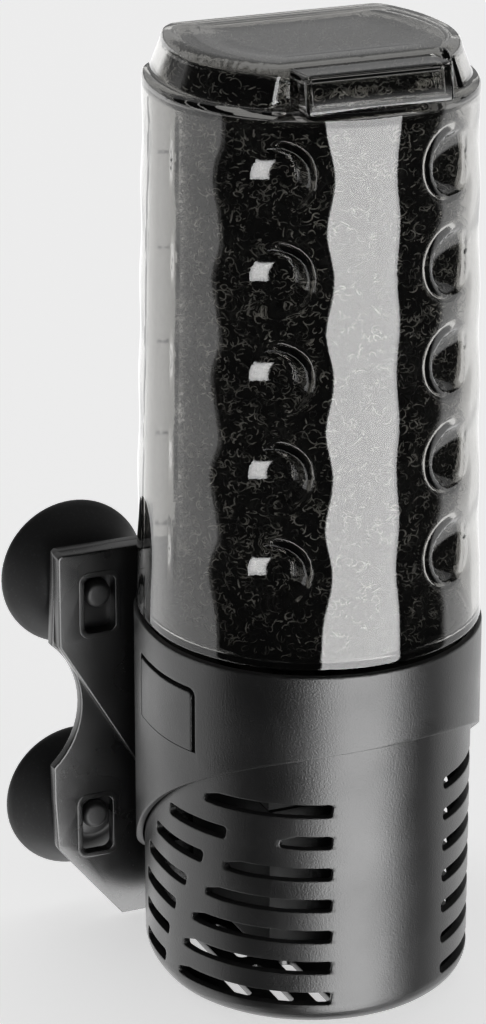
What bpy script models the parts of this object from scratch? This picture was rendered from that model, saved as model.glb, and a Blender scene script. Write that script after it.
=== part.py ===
"""Internal power filter for an aquarium: a strainer with the pump inside, a collar round it,
and a clear sponge cartridge plugged in on top.  A bracket with four suction cups slides on its back.

Metres, +Z up.  The body's round front faces -Y and X = 0 is its plane of symmetry.
Z = 0 is the flat underside of the strainer.
"""
import math

import bmesh
import bpy
from mathutils import Matrix, Vector

GAP = 0.0003                 # clearance between neighbouring pieces

# Body: each half of the plan outline is a quarter circle in front, a short straight, a side that
# curves gently inwards and a round corner, which meets the flat back
BODY_FRONT = -0.0354
BODY_RADIUS = 0.0343
SIDE_STRAIGHT = 0.0017
SIDE_RADIUS, SIDE_TURN = 0.0470, math.radians(23.6)
CORNER_RADIUS = 0.0110
OUTLINE_RUNS = [(BODY_RADIUS, math.pi / 2, 12), (math.inf, SIDE_STRAIGHT, 1),
                (SIDE_RADIUS, SIDE_TURN, 3), (CORNER_RADIUS, math.pi / 2 - SIDE_TURN, 4)]
BACK_FLAT = 0.0260

# Collar
COLLAR_WALL = 0.0015
RIM_HEIGHT = 0.0773
RIM_ROUNDING = 0.0006
DECK_LOW, DECK_HIGH = 0.0677, 0.0695
DECK_INSET = 0.0036

# Strainer
STRAINER_INSET = COLLAR_WALL + GAP
STRAINER_WALL = 0.0017
STRAINER_OVERLAP = 0.0026    # how far it reaches up behind the collar's lower edge
STRAINER_ROUNDING = 0.0055
SLOT_HEIGHT = 0.0026
SLOT_PITCH = 0.00685
LOWEST_SLOT = 0.0069
SLOT_ROWS = 7

# Cartridge: container, sponge, core tube and bottom grid
SKIRT_LOW = 0.0703
CONTAINER_LOW = RIM_HEIGHT + 0.0011
SHOULDER_HEIGHT = 0.1885
TOTAL_HEIGHT = 0.1963
CONTAINER_WALL = 0.0016
SKIRT_INSET = 0.0034
FOOT_INSET = 0.0004          # container's wall at its lower end
SHOULDER_INSET = 0.0025      # and at the shoulder: the draft of the moulding
SHOULDER_ROUNDING = 0.0016
NECK_INSET = 0.0043
NECK_FRONT = 0.0230
NECK_ROUNDING = 0.0020
GRIP_HALF_WIDTH = 0.0152
GRIP_FRONT = 0.0310
GRIP_LOW, GRIP_HIGH = 0.1876, 0.1955
POCKET_COLUMNS = [(-0.0235, -17.0), (0.0199, 17.0), (-0.0852, -180.0), (0.0852, 180.0)]
POCKET_ROWS = 5
POCKET_PITCH = 0.0195
LOWEST_POCKET = 0.0977
POCKET_HALF_SIZES = (0.0068, 0.0056, 0.0075)    # across, up and along the direction it is pressed in
POCKET_DEPTH = 0.0032

# Latch tabs, one on each side of the collar
LATCH_BACK_STATION = 0.0626
LATCH_FRONT_STATION = 0.0399
LATCH_LOW, LATCH_HIGH = 0.0572, 0.0709
LATCH_SIDE_GAP = 0.0006
LATCH_TOP_GAP = 0.0009

# Pump
PUMP_Y = -0.0070             # axis of the rotor, of the chamber and of the core tube
MOTOR_LOW, MOTOR_HIGH = 0.0100, 0.0440
MOTOR_HALF_WIDTH = 0.0175
MOTOR_FRONT, MOTOR_BACK = -0.0192, 0.0215
MOTOR_WALL = 0.0016
WELL_RADIUS = 0.0076
WELL_WALL = 0.0010
WELL_FLOOR = 0.0140
SHAFT_RADIUS = 0.00125
CHAMBER_LOW, CHAMBER_HIGH = 0.0469, 0.0636
CHAMBER_RADIUS = 0.0145
CHAMBER_WALL = 0.0015
SOCKET_RADIUS = 0.0060
SOCKET_HIGH = 0.0748
STATOR_MIDDLE = 0.0260
STACK_HEIGHT = 0.0140
YOKE_FRONT, YOKE_BACK = 0.0095, 0.0155
PUMP_SCREW_ANGLES = (90.0, 210.0, 330.0)
PUMP_SCREW_CIRCLE = 0.0125

# Outlet: it leaves the chamber as a tangent and crosses the collar behind its right side
OUTLET_BEARING = math.radians(110.0)
OUTLET_HEIGHT = 0.0535
OUTLET_TANGENT = 0.0075
OUTLET_PIPE_RADIUS = 0.0062
OUTLET_BORE_RADIUS = 0.0051
NOZZLE_RADIUS = 0.0040
NOZZLE_FLANGE_RADIUS = 0.0060

# Bracket and suction cups
RAIL_LOW, RAIL_HIGH = 0.0320, 0.0700
RAIL_WEB_HALF, RAIL_HEAD_HALF = 0.0042, 0.0075
RAIL_STEP, RAIL_BACK = 0.0284, 0.0302
BRACKET_FRONT, BRACKET_STEP, BRACKET_BACK = 0.0285, 0.0315, 0.0340
BRACKET_HALF_WIDTH = 0.0432
BRACKET_TOP, BRACKET_BOTTOM = 0.0855, 0.0008
WAIST_RADIUS, WAIST_CENTRE_X, WAIST_CENTRE_Z = 0.0184, 0.0560, 0.0510
CUP_X = 0.0342
CUP_HEIGHTS = {"lower": 0.0244, "upper": 0.0754}
CUP_RADIUS = 0.0158
CUP_RIM_Y = 0.0445
CUP_LIP = 0.0012              # flat ring of a cup's rim that lies on the glass

# Cable
CABLE_RADIUS = 0.0021
GLAND_HEIGHT = 0.0633
GLAND_STATION = 0.0736


# ---------------------------------------------------------------- scene and materials

def clear_scene():
    for existing in list(bpy.data.objects):
        bpy.data.objects.remove(existing, do_unlink=True)


def new_collection(name):
    collection = bpy.data.collections.new(name)
    bpy.context.scene.collection.children.link(collection)
    return collection


clear_scene()
PARTS = new_collection("internal_power_filter")
CUTTERS = new_collection("cutters")


def make_material(name, colour, roughness, metallic=0.0):
    material = bpy.data.materials.new(name)
    material.use_nodes = True
    shader = material.node_tree.nodes["Principled BSDF"]
    shader.inputs["Base Color"].default_value = (*colour, 1.0)
    shader.inputs["Roughness"].default_value = roughness
    shader.inputs["Metallic"].default_value = metallic
    material.diffuse_color = (*colour, 1.0)
    return material


BLACK_PLASTIC = make_material("black_plastic", (0.020, 0.020, 0.021), 0.38)
BLACK_HOUSING = make_material("pump_plastic", (0.035, 0.036, 0.038), 0.50)
CLEAR_PLASTIC = make_material("smoke_clear_plastic", (0.46, 0.47, 0.46), 0.06)
FOAM = make_material("black_foam", (0.016, 0.016, 0.016), 0.95)
RUBBER = make_material("black_rubber", (0.022, 0.022, 0.023), 0.55)
GREY_PLASTIC = make_material("grey_plastic", (0.22, 0.23, 0.24), 0.45)
BLUE_PLASTIC = make_material("impeller_plastic", (0.10, 0.20, 0.42), 0.40)
FERRITE = make_material("ferrite", (0.055, 0.052, 0.050), 0.60, 0.3)
STEEL = make_material("stator_steel", (0.42, 0.42, 0.43), 0.40, 0.9)
COPPER = make_material("copper_winding", (0.62, 0.28, 0.12), 0.35, 0.9)
CERAMIC = make_material("ceramic", (0.82, 0.81, 0.78), 0.20)
STAINLESS = make_material("stainless_steel", (0.62, 0.62, 0.63), 0.25, 1.0)
CABLE_SHEATH = make_material("cable_sheath", (0.018, 0.018, 0.018), 0.50)


# ---------------------------------------------------------------- shapes, as solids in a bmesh

def outline_lengths():
    """(radius, turn, length) of the runs of the body's right half, from the front centre backwards."""
    runs = []
    for radius, extent, _ in OUTLINE_RUNS:
        straight = math.isinf(radius)
        runs.append((radius, 0.0 if straight else extent, extent if straight else radius * extent))
    return runs


def wall_frame(station):
    """Plan point of the body's face at a distance from its front centre, right positive, and its normal."""
    left = abs(station)
    point = Vector((0.0, BODY_FRONT))
    heading = 0.0
    for radius, _, length in outline_lengths():
        step = min(left, length)
        turn = step / radius
        if turn > 0.0:
            chord = 2 * radius * math.sin(turn / 2)
        else:
            chord = step
        point += Vector((math.cos(heading + turn / 2), math.sin(heading + turn / 2))) * chord
        heading += turn
        left -= step
    side = math.copysign(1.0, station)
    return Vector((side * point.x, point.y)), Vector((side * math.sin(heading), -math.cos(heading)))


def wall_point(station, inset):
    point, normal = wall_frame(station)
    return tuple(point - normal * inset)


def outline_stations():
    """Stations of the outline's corners, from the left end of the flat back round the front."""
    stations = [0.0]
    for (_, _, steps), (_, _, length) in zip(OUTLINE_RUNS, outline_lengths()):
        start = stations[-1]
        stations += [start + length * step / steps for step in range(1, steps + 1)]
    return [-station for station in reversed(stations[1:])] + stations


def outline(inset=0.0):
    """Plan outline of the body, moved inwards by inset, anticlockwise; inset may be a function."""
    return [wall_point(station, inset(station) if callable(inset) else inset)
            for station in outline_stations()]


def parting_height(x, y):
    """Height of the line where the collar ends over the strainer: an arch that falls to the back."""
    return 0.04215 + 0.0272 * x - 0.7618 * y - 6.22 * y * y


def add_loft(bm, rings, closed=False):
    """Skin through rings (inset, height[, front limit]) of the outline; a height may be a function."""
    loops = []
    for inset, height, *limit in rings:
        loop = []
        for x, y in outline(inset):
            if limit:
                y = max(y, -limit[0])
            z = height(x, y) if callable(height) else height
            loop.append(bm.verts.new((x, y, z)))
        loops.append(loop)
    count = len(loops[0])
    bands = list(zip(loops, loops[1:]))
    if closed:
        bands.append((loops[-1], loops[0]))
    for low, high in bands:
        for index in range(count):
            after = (index + 1) % count
            bm.faces.new((low[index], low[after], high[after], high[index]))
    if not closed:
        bm.faces.new(reversed(loops[0]))
        bm.faces.new(loops[-1])


def add_box(bm, low, high):
    size = Vector(high) - Vector(low)
    centre = (Vector(high) + Vector(low)) / 2
    bmesh.ops.create_cube(bm, size=1.0, matrix=Matrix.LocRotScale(centre, None, size))


def add_rod(bm, start, end, radius, end_radius=None, segments=20):
    """Cylinder, or cone, between two points."""
    axis = Vector(end) - Vector(start)
    turn = axis.to_track_quat("Z", "Y")
    bmesh.ops.create_cone(
        bm, cap_ends=True, segments=segments, depth=axis.length,
        radius1=radius, radius2=radius if end_radius is None else end_radius,
        matrix=Matrix.LocRotScale((Vector(start) + Vector(end)) / 2, turn, None))


def add_ellipsoid(bm, centre, pole, half_sizes, segments, rings):
    turn = Vector(pole).to_track_quat("Z", "Y")
    bmesh.ops.create_uvsphere(
        bm, u_segments=segments, v_segments=rings, radius=1.0,
        matrix=Matrix.LocRotScale(Vector(centre), turn, Vector(half_sizes)))


def add_prism(bm, corners, travel):
    """Solid swept by a flat polygon along a vector."""
    face = bm.faces.new([bm.verts.new(corner) for corner in corners])
    pushed = bmesh.ops.extrude_face_region(bm, geom=[face])["geom"]
    moved = [item for item in pushed if isinstance(item, bmesh.types.BMVert)]
    bmesh.ops.translate(bm, verts=moved, vec=travel)


def add_slab(bm, points, front, back):
    """Plate standing parallel to the back: an (x, z) outline between two Y values."""
    add_prism(bm, [(x, front, z) for x, z in points], (0.0, back - front, 0.0))


def add_wall_patch(bm, stations, heights, insets):
    """Curved block that follows the body's wall between two stations, heights and insets."""
    first, last = stations
    steps = max(1, math.ceil(abs(last - first) / 0.0042))
    slices = []
    for step in range(steps + 1):
        station = first + (last - first) * step / steps
        corners = []
        for inset, height in ((insets[0], heights[0]), (insets[1], heights[0]),
                              (insets[1], heights[1]), (insets[0], heights[1])):
            x, y = wall_point(station, inset)
            corners.append(bm.verts.new((x, y, height)))
        slices.append(corners)
    for near, far in zip(slices, slices[1:]):
        for index in range(4):
            after = (index + 1) % 4
            bm.faces.new((near[index], near[after], far[after], far[index]))
    bm.faces.new(reversed(slices[0]))
    bm.faces.new(slices[-1])


# ---------------------------------------------------------------- objects

def make_mesh(name, bm):
    bmesh.ops.recalc_face_normals(bm, faces=bm.faces)
    mesh = bpy.data.meshes.new(name)
    bm.to_mesh(mesh)
    bm.free()
    mesh.shade_smooth()
    mesh.set_sharp_from_angle(angle=math.radians(35.0))
    return mesh


def solid(name, material, *shapes, origin=(0.0, 0.0, 0.0), parent=None):
    """One object from shapes, each a function that adds solids to a bmesh, with its origin moved."""
    bm = bmesh.new()
    for shape in shapes:
        shape(bm)
    bmesh.ops.translate(bm, verts=bm.verts, vec=-Vector(origin))
    mesh = make_mesh(name, bm)
    mesh.materials.append(material)
    part = bpy.data.objects.new(name, mesh)
    PARTS.objects.link(part)
    place(part, origin, parent)
    return part


def place(part, position, parent=None):
    part.location = Vector(position)
    if parent is not None:
        part.parent = parent
        part.location -= parent.location


def apply_tool(part, operation, tool):
    """Boolean of a part with a hidden object that moves to the cutters."""
    for collection in list(tool.users_collection):
        collection.objects.unlink(tool)
    CUTTERS.objects.link(tool)
    tool.hide_render = True
    tool.display_type = "WIRE"
    modifier = part.modifiers.new(operation.title(), "BOOLEAN")
    modifier.operation = operation
    modifier.object = tool


def combine(part, operation, shape):
    """Boolean of a part with the solids that the shape function adds."""
    bm = bmesh.new()
    shape(bm)
    name = f"{part.name}_{operation.lower()}_{len(part.modifiers)}"
    apply_tool(part, operation, bpy.data.objects.new(name, make_mesh("cutter", bm)))


def cut(part, shape):
    combine(part, "DIFFERENCE", shape)


def join(part, shape):
    combine(part, "UNION", shape)


def turned(name, material, profile, position=(0.0, 0.0, 0.0), axis=(0.0, 0.0, 1.0),
           closed=True, segments=24, parent=None):
    """Turned piece from a profile of (radius, height) points that runs down its outer side."""
    bm = bmesh.new()
    verts = [bm.verts.new((radius, 0.0, height)) for radius, height in profile]
    for first, second in zip(verts, verts[1:]):
        bm.edges.new((first, second))
    if closed:
        bm.edges.new((verts[-1], verts[0]))
    mesh = bpy.data.meshes.new(name)
    bm.to_mesh(mesh)
    bm.free()
    mesh.materials.append(material)
    part = bpy.data.objects.new(name, mesh)
    PARTS.objects.link(part)
    screw = part.modifiers.new("Screw", "SCREW")
    screw.steps = segments
    screw.render_steps = segments
    screw.use_merge_vertices = True
    screw.merge_threshold = 0.00001
    part.rotation_mode = "QUATERNION"
    part.rotation_quaternion = Vector(axis).to_track_quat("Z", "Y")
    place(part, position, parent)
    return part


def seal_profile(radius, thickness, steps=8):
    """Round section of a seal ring, thickness being its radius."""
    angles = [-2 * math.pi * step / steps for step in range(steps)]
    return [(radius + thickness * math.cos(angle), thickness * math.sin(angle)) for angle in angles]


# ---------------------------------------------------------------- collar, strainer and latches

def collar_rings():
    def above_edge(x, y):
        return parting_height(x, y) + RIM_ROUNDING

    return [(RIM_ROUNDING, parting_height), (0.0, above_edge),
            (0.0, RIM_HEIGHT - RIM_ROUNDING), (RIM_ROUNDING, RIM_HEIGHT),
            (COLLAR_WALL, RIM_HEIGHT), (COLLAR_WALL, parting_height)]


def latch_stations(side, margin=0.0):
    return side * (LATCH_FRONT_STATION + margin), side * (LATCH_BACK_STATION - margin)


def outlet_frame():
    """Point on the outlet's axis nearest to the pump, and the direction in which it leaves."""
    direction = Vector((math.sin(OUTLET_BEARING), -math.cos(OUTLET_BEARING), 0.0))
    across = Vector((-direction.y, direction.x, 0.0))
    start = Vector((0.0, PUMP_Y, OUTLET_HEIGHT)) + across * OUTLET_TANGENT
    return start, direction


def outlet_wall_point():
    """Where the outlet's axis crosses the collar's right side, just under its outer face."""
    start, direction = outlet_frame()
    centre = Vector((BODY_RADIUS - SIDE_RADIUS, BODY_FRONT + BODY_RADIUS + SIDE_STRAIGHT, start.z))
    offset = start - centre
    along = offset.dot(direction)
    reach = SIDE_RADIUS - GAP
    return start + direction * (math.sqrt(along * along - offset.length_squared + reach * reach) - along)


def gland_frame():
    """Centre of the cable's passage through the collar's right side, and its outward direction."""
    point, normal = wall_frame(GLAND_STATION)
    return Vector((point.x, point.y, GLAND_HEIGHT)), Vector((normal.x, normal.y, 0.0))


def pump_screw_points():
    for degrees in PUMP_SCREW_ANGLES:
        angle = math.radians(degrees)
        yield Vector((PUMP_SCREW_CIRCLE * math.cos(angle),
                      PUMP_Y + PUMP_SCREW_CIRCLE * math.sin(angle), 0.0))


def build_collar():
    collar = solid("collar", BLACK_PLASTIC, lambda bm: add_loft(bm, collar_rings(), closed=True))

    def deck(bm):
        add_loft(bm, [(DECK_INSET, DECK_LOW), (DECK_INSET, DECK_HIGH)])

    def ribs(bm):
        front = BODY_FRONT + COLLAR_WALL / 2
        add_box(bm, (-0.004, front, DECK_LOW), (0.004, front + 0.006, DECK_HIGH))
        for x in (-0.014, 0.014):
            add_box(bm, (x - 0.003, BACK_FLAT - 0.006, DECK_LOW),
                    (x + 0.003, BACK_FLAT - COLLAR_WALL / 2, DECK_HIGH))

    def rail(bm):
        web, head = RAIL_WEB_HALF, RAIL_HEAD_HALF
        start = BACK_FLAT - COLLAR_WALL / 2
        points = [(-web, start), (web, start), (web, RAIL_STEP), (head, RAIL_STEP),
                  (head, RAIL_BACK), (-head, RAIL_BACK), (-head, RAIL_STEP), (-web, RAIL_STEP)]
        add_prism(bm, [(x, y, RAIL_LOW) for x, y in points], (0.0, 0.0, RAIL_HIGH - RAIL_LOW))

    def deck_openings(bm):
        add_rod(bm, (0.0, PUMP_Y, DECK_LOW - 0.001), (0.0, PUMP_Y, DECK_HIGH + 0.001),
                SOCKET_RADIUS + 0.0018)
        for point in pump_screw_points():
            add_rod(bm, point + Vector((0, 0, DECK_LOW - 0.001)),
                    point + Vector((0, 0, DECK_HIGH + 0.001)), 0.0016, segments=12)
        for side in (-1, 1):
            add_box(bm, (side * 0.0175 - 0.0035, -0.0190, DECK_LOW - 0.001),
                    (side * 0.0175 + 0.0035, 0.0080, DECK_HIGH + 0.001))
            add_box(bm, (side * 0.0262 - 0.0024, -0.0080, DECK_LOW - 0.001),
                    (side * 0.0262 + 0.0024, 0.0080, DECK_HIGH + 0.001))
        add_box(bm, (-0.0080, -0.0290, DECK_LOW - 0.001), (0.0080, -0.0235, DECK_HIGH + 0.001))

    def wall_openings(bm):
        for side in (-1, 1):
            add_wall_patch(bm, latch_stations(side), (LATCH_LOW, LATCH_HIGH), (-0.001, 0.0025))
        direction = outlet_frame()[1]
        exit_point = outlet_wall_point()
        add_rod(bm, exit_point - direction * 0.006, exit_point + direction * 0.004,
                NOZZLE_RADIUS + 0.0005)
        centre, outward = gland_frame()
        add_rod(bm, centre - outward * 0.004, centre + outward * 0.002, 0.0037)

    join(collar, deck)
    join(collar, ribs)
    join(collar, rail)
    cut(collar, deck_openings)
    cut(collar, wall_openings)
    return collar


def build_latch(side, parent):
    heights = (LATCH_LOW + GAP, LATCH_HIGH - LATCH_TOP_GAP)
    stations = latch_stations(side, LATCH_SIDE_GAP)
    ends = [Vector((*wall_point(station, COLLAR_WALL / 2), LATCH_LOW + GAP / 2))
            for station in stations]
    hinge = (ends[0] + ends[1]) / 2
    name = "latch_left" if side < 0 else "latch_right"
    latch = solid(name, BLACK_PLASTIC,
                  lambda bm: add_wall_patch(bm, stations, heights, (0.0, COLLAR_WALL)),
                  origin=hinge, parent=parent)
    middle = (stations[0] + stations[1]) / 2

    def pusher(bm):
        reach = math.copysign(0.005, middle)
        add_wall_patch(bm, (middle - reach, middle + reach), (0.0668, 0.0682),
                       (COLLAR_WALL / 2, COLLAR_WALL + 0.0006))

    join(latch, pusher)


def slot_spans():
    """(row, from, to) of the slots round the strainer, as stations round the body."""
    for row in range(SLOT_ROWS):
        band = -0.0532 + 0.00135 * row + 0.00054 * row * row    # solid band that leans forward
        far_end = max(-0.0660, -0.0708 + 0.0008 * row * row)
        middle_start = {5: -0.0210, 6: -0.0387}.get(row, band + 0.0058)
        if row < SLOT_ROWS - 1:
            yield row, far_end, band
        yield row, middle_start, -0.0099
        yield row, 0.0179, 0.0463 if row < SLOT_ROWS - 1 else 0.0400
        if row < SLOT_ROWS - 2:
            yield row, 0.0520, -far_end


def build_strainer(parent):
    outer, inner = STRAINER_INSET, STRAINER_INSET + STRAINER_WALL
    rounding = STRAINER_ROUNDING

    def top(x, y):
        return parting_height(x, y) + STRAINER_OVERLAP

    rings = []
    for step in range(5):
        angle = math.pi / 2 * step / 4
        rings.append((outer + rounding * (1 - math.sin(angle)), rounding * (1 - math.cos(angle))))
    rings += [(outer, top), (inner, top)]
    inner_rounding = rounding - STRAINER_WALL
    for step in range(4):
        angle = math.pi / 2 * (1 - step / 3)
        rings.append((inner + inner_rounding * (1 - math.sin(angle)),
                      STRAINER_WALL + inner_rounding * (1 - math.cos(angle))))
    strainer = solid("strainer", BLACK_PLASTIC, lambda bm: add_loft(bm, rings), parent=parent)

    def wall_slots(bm):
        for row, first, last in slot_spans():
            middle = LOWEST_SLOT + SLOT_PITCH * row
            add_wall_patch(bm, (first, last), (middle - SLOT_HEIGHT / 2, middle + SLOT_HEIGHT / 2),
                           (outer - 0.001, inner + 0.003))

    def floor_slots(bm):
        for column in range(-3, 4):
            if column == 0:
                continue
            x = column * 0.0068
            reach = math.sqrt(0.0265 ** 2 - x * x) - 0.002
            for front, back in ((-reach, -0.0030), (0.0010, 0.0170)):
                add_box(bm, (x - 0.0015, front, -0.001), (x + 0.0015, back, 0.004))

    cut(strainer, wall_slots)
    cut(strainer, floor_slots)


# ---------------------------------------------------------------- sponge cartridge

def container_inset(height):
    """Inset of the container's drafted wall at a height."""
    share = (height - CONTAINER_LOW) / (SHOULDER_HEIGHT - CONTAINER_LOW)
    return FOOT_INSET + (SHOULDER_INSET - FOOT_INSET) * share


def add_pockets(bm, wall, rings):
    """The pockets pressed into the container's wall, grown by the wall's thickness for its inside."""
    sizes = [half + wall for half in POCKET_HALF_SIZES]
    for station, degrees in POCKET_COLUMNS:
        angle = math.radians(degrees)
        outward = Vector((math.sin(angle), -math.cos(angle), 0.0))
        for row in range(POCKET_ROWS):
            height = LOWEST_POCKET + POCKET_PITCH * row
            face = Vector((*wall_point(station, container_inset(height)), height))
            centre = face + outward * (POCKET_HALF_SIZES[2] - POCKET_DEPTH)
            add_ellipsoid(bm, centre, outward, sizes, 10, rings)


def container_skin(wall):
    """Rings of the container's outer skin, or of its inner one when wall is its thickness."""
    steps = 3
    foot = CONTAINER_LOW - (0.0 if wall == 0.0 else 0.0004)
    rings = [(SKIRT_INSET + wall, SKIRT_LOW - (0.001 if wall else 0.0)), (SKIRT_INSET + wall, foot),
             (FOOT_INSET + 0.0004 + wall, foot + wall), (FOOT_INSET + wall, foot + 0.0005 + wall)]
    shoulder = SHOULDER_HEIGHT - wall
    for step in range(steps + 1):
        angle = math.pi / 2 * step / steps
        rings.append((SHOULDER_INSET + wall + SHOULDER_ROUNDING * (1 - math.cos(angle)),
                      shoulder - SHOULDER_ROUNDING * (1 - math.sin(angle))))
    top = TOTAL_HEIGHT - wall
    neck = NECK_INSET + wall
    limit = NECK_FRONT - wall
    rings.append((neck, shoulder + 0.0001, limit))
    for step in range(steps + 1):
        angle = math.pi / 2 * step / steps
        back_off = NECK_ROUNDING * (1 - math.cos(angle))
        rings.append((neck + back_off, top - NECK_ROUNDING * (1 - math.sin(angle)), limit - back_off))
    return rings


def build_container():
    container = solid("container", CLEAR_PLASTIC, lambda bm: add_loft(bm, container_skin(0.0)))

    def grip(bm):
        add_box(bm, (-GRIP_HALF_WIDTH, -GRIP_FRONT, GRIP_LOW),
                (GRIP_HALF_WIDTH, -NECK_FRONT + 0.002, GRIP_HIGH))
        front = [edge for edge in bm.edges
                 if all(vert.co.y < -GRIP_FRONT + 0.0001 for vert in edge.verts)
                 or abs((edge.verts[0].co - edge.verts[1].co).normalized().y) > 0.9]
        bmesh.ops.bevel(bm, geom=front, offset=0.0012, segments=2, profile=0.5, affect="EDGES")

    def cavity(bm):
        add_loft(bm, container_skin(CONTAINER_WALL))

    def grip_cavity(bm):
        wall = CONTAINER_WALL
        add_box(bm, (-GRIP_HALF_WIDTH + wall, -GRIP_FRONT + wall, GRIP_LOW + wall),
                (GRIP_HALF_WIDTH - wall, -NECK_FRONT + 0.003, GRIP_HIGH - wall))

    hollow = solid("container_hollow", CLEAR_PLASTIC, cavity)
    cut(hollow, lambda bm: add_pockets(bm, CONTAINER_WALL, 11))
    join(container, grip)
    apply_tool(container, "DIFFERENCE", hollow)
    cut(container, grip_cavity)
    cut(container, lambda bm: add_pockets(bm, 0.0, 10))
    return container


def sponge_inset(inset):
    """Inset of the sponge's side: it bulges towards the wall behind the right front pockets."""
    def at_station(station):
        return inset - 0.0032 * math.exp(-((station - 0.0420) / 0.0110) ** 2)
    return at_station


def build_sponge(parent):
    foot, margin = 0.0768, CONTAINER_WALL + 0.0008
    neck_front = NECK_FRONT - 0.0025
    sponge = solid("sponge", FOAM, lambda bm: add_loft(bm, [
        (0.0066, foot), (0.0066, 0.0800), (sponge_inset(0.0066), 0.0820), (sponge_inset(0.0080), 0.1835),
        (0.0080, 0.1850, neck_front), (0.0072, 0.1875, neck_front),
        (0.0078, 0.1935, neck_front - 0.0005)]), parent=parent)
    join(sponge, lambda bm: add_box(
        bm, (-GRIP_HALF_WIDTH + margin, -GRIP_FRONT + margin, GRIP_LOW + margin),
        (GRIP_HALF_WIDTH - margin, -0.0190, GRIP_HIGH - margin)))
    cut(sponge, lambda bm: add_rod(bm, (0, PUMP_Y, foot - 0.001), (0, PUMP_Y, 0.1715), 0.0066))


def build_core_tube(parent):
    outer, inner = 0.0060, 0.0049
    spigot, bore = 0.0050, 0.0040
    top = 0.1700
    collar_radius, collar_low, collar_high, spigot_end = 0.0078, 0.0752, 0.0765, 0.0668
    profile = [(0.0, top), (outer - 0.001, top), (outer, top - 0.001), (outer, collar_high),
               (collar_radius, collar_high), (collar_radius, collar_low), (spigot, collar_low),
               (spigot, spigot_end), (bore, spigot_end), (bore, collar_high + 0.001),
               (inner, collar_high + 0.002), (inner, top - 0.0015), (0.0, top - 0.0015)]
    tube = turned("core_tube", GREY_PLASTIC, profile, (0.0, PUMP_Y, 0.0), closed=False, parent=parent)

    def windows(bm):
        for level in range(5):
            low = 0.0820 + 0.0170 * level
            turn = level % 2
            across = (0.0080, 0.0015) if turn else (0.0015, 0.0080)
            add_box(bm, (-across[0], PUMP_Y - across[1], low),
                    (across[0], PUMP_Y + across[1], low + 0.0125))

    cut(tube, windows)


def build_bottom_grid(parent):
    inset = SKIRT_INSET + CONTAINER_WALL + GAP
    low, high = 0.0725, 0.0745
    grid = solid("bottom_grid", BLACK_PLASTIC, lambda bm: add_loft(bm, [(inset, low), (inset, high)]),
                 parent=parent)

    def openings(bm):
        add_rod(bm, (0, PUMP_Y, low - 0.001), (0, PUMP_Y, high + 0.001), 0.0079)
        for column in range(-3, 4):
            x = column * 0.0073
            reach = math.sqrt(0.0275 ** 2 - x * x) - 0.001
            spans = [(-reach, -0.0172), (0.0032, 0.0180)]
            if abs(column) > 1:
                spans = [(-reach, -0.0015), (0.0015, 0.0165)]
            for front, back in spans:
                add_box(bm, (x - 0.0023, front, low - 0.001), (x + 0.0023, back, high + 0.001))

    cut(grid, openings)


# ---------------------------------------------------------------- pump

def build_motor(parent):
    half = MOTOR_HALF_WIDTH
    housing = solid("motor_housing", BLACK_HOUSING, lambda bm: add_box(
        bm, (-half, MOTOR_FRONT, MOTOR_LOW), (half, MOTOR_BACK, MOTOR_HIGH)), parent=parent)
    bevel = housing.modifiers.new("Round", "BEVEL")
    bevel.width = 0.0020
    bevel.segments = 2
    bevel.limit_method = "ANGLE"
    cut(housing, lambda bm: add_box(
        bm, (-half + MOTOR_WALL, MOTOR_FRONT + MOTOR_WALL, MOTOR_LOW + MOTOR_WALL),
        (half - MOTOR_WALL, MOTOR_BACK - MOTOR_WALL, MOTOR_HIGH + 0.001)))

    low = MOTOR_HIGH + GAP
    high = CHAMBER_LOW - GAP
    cover = solid("motor_cover", BLACK_HOUSING, lambda bm: add_box(
        bm, (-half, MOTOR_FRONT, low), (half, MOTOR_BACK, high)), parent=parent)
    join(cover, lambda bm: add_rod(bm, (0, PUMP_Y, WELL_FLOOR), (0, PUMP_Y, low + 0.001),
                                   WELL_RADIUS + WELL_WALL, segments=28))
    cut(cover, lambda bm: add_rod(bm, (0, PUMP_Y, WELL_FLOOR + 0.0015), (0, PUMP_Y, high + 0.001),
                                  WELL_RADIUS, segments=28))


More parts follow.
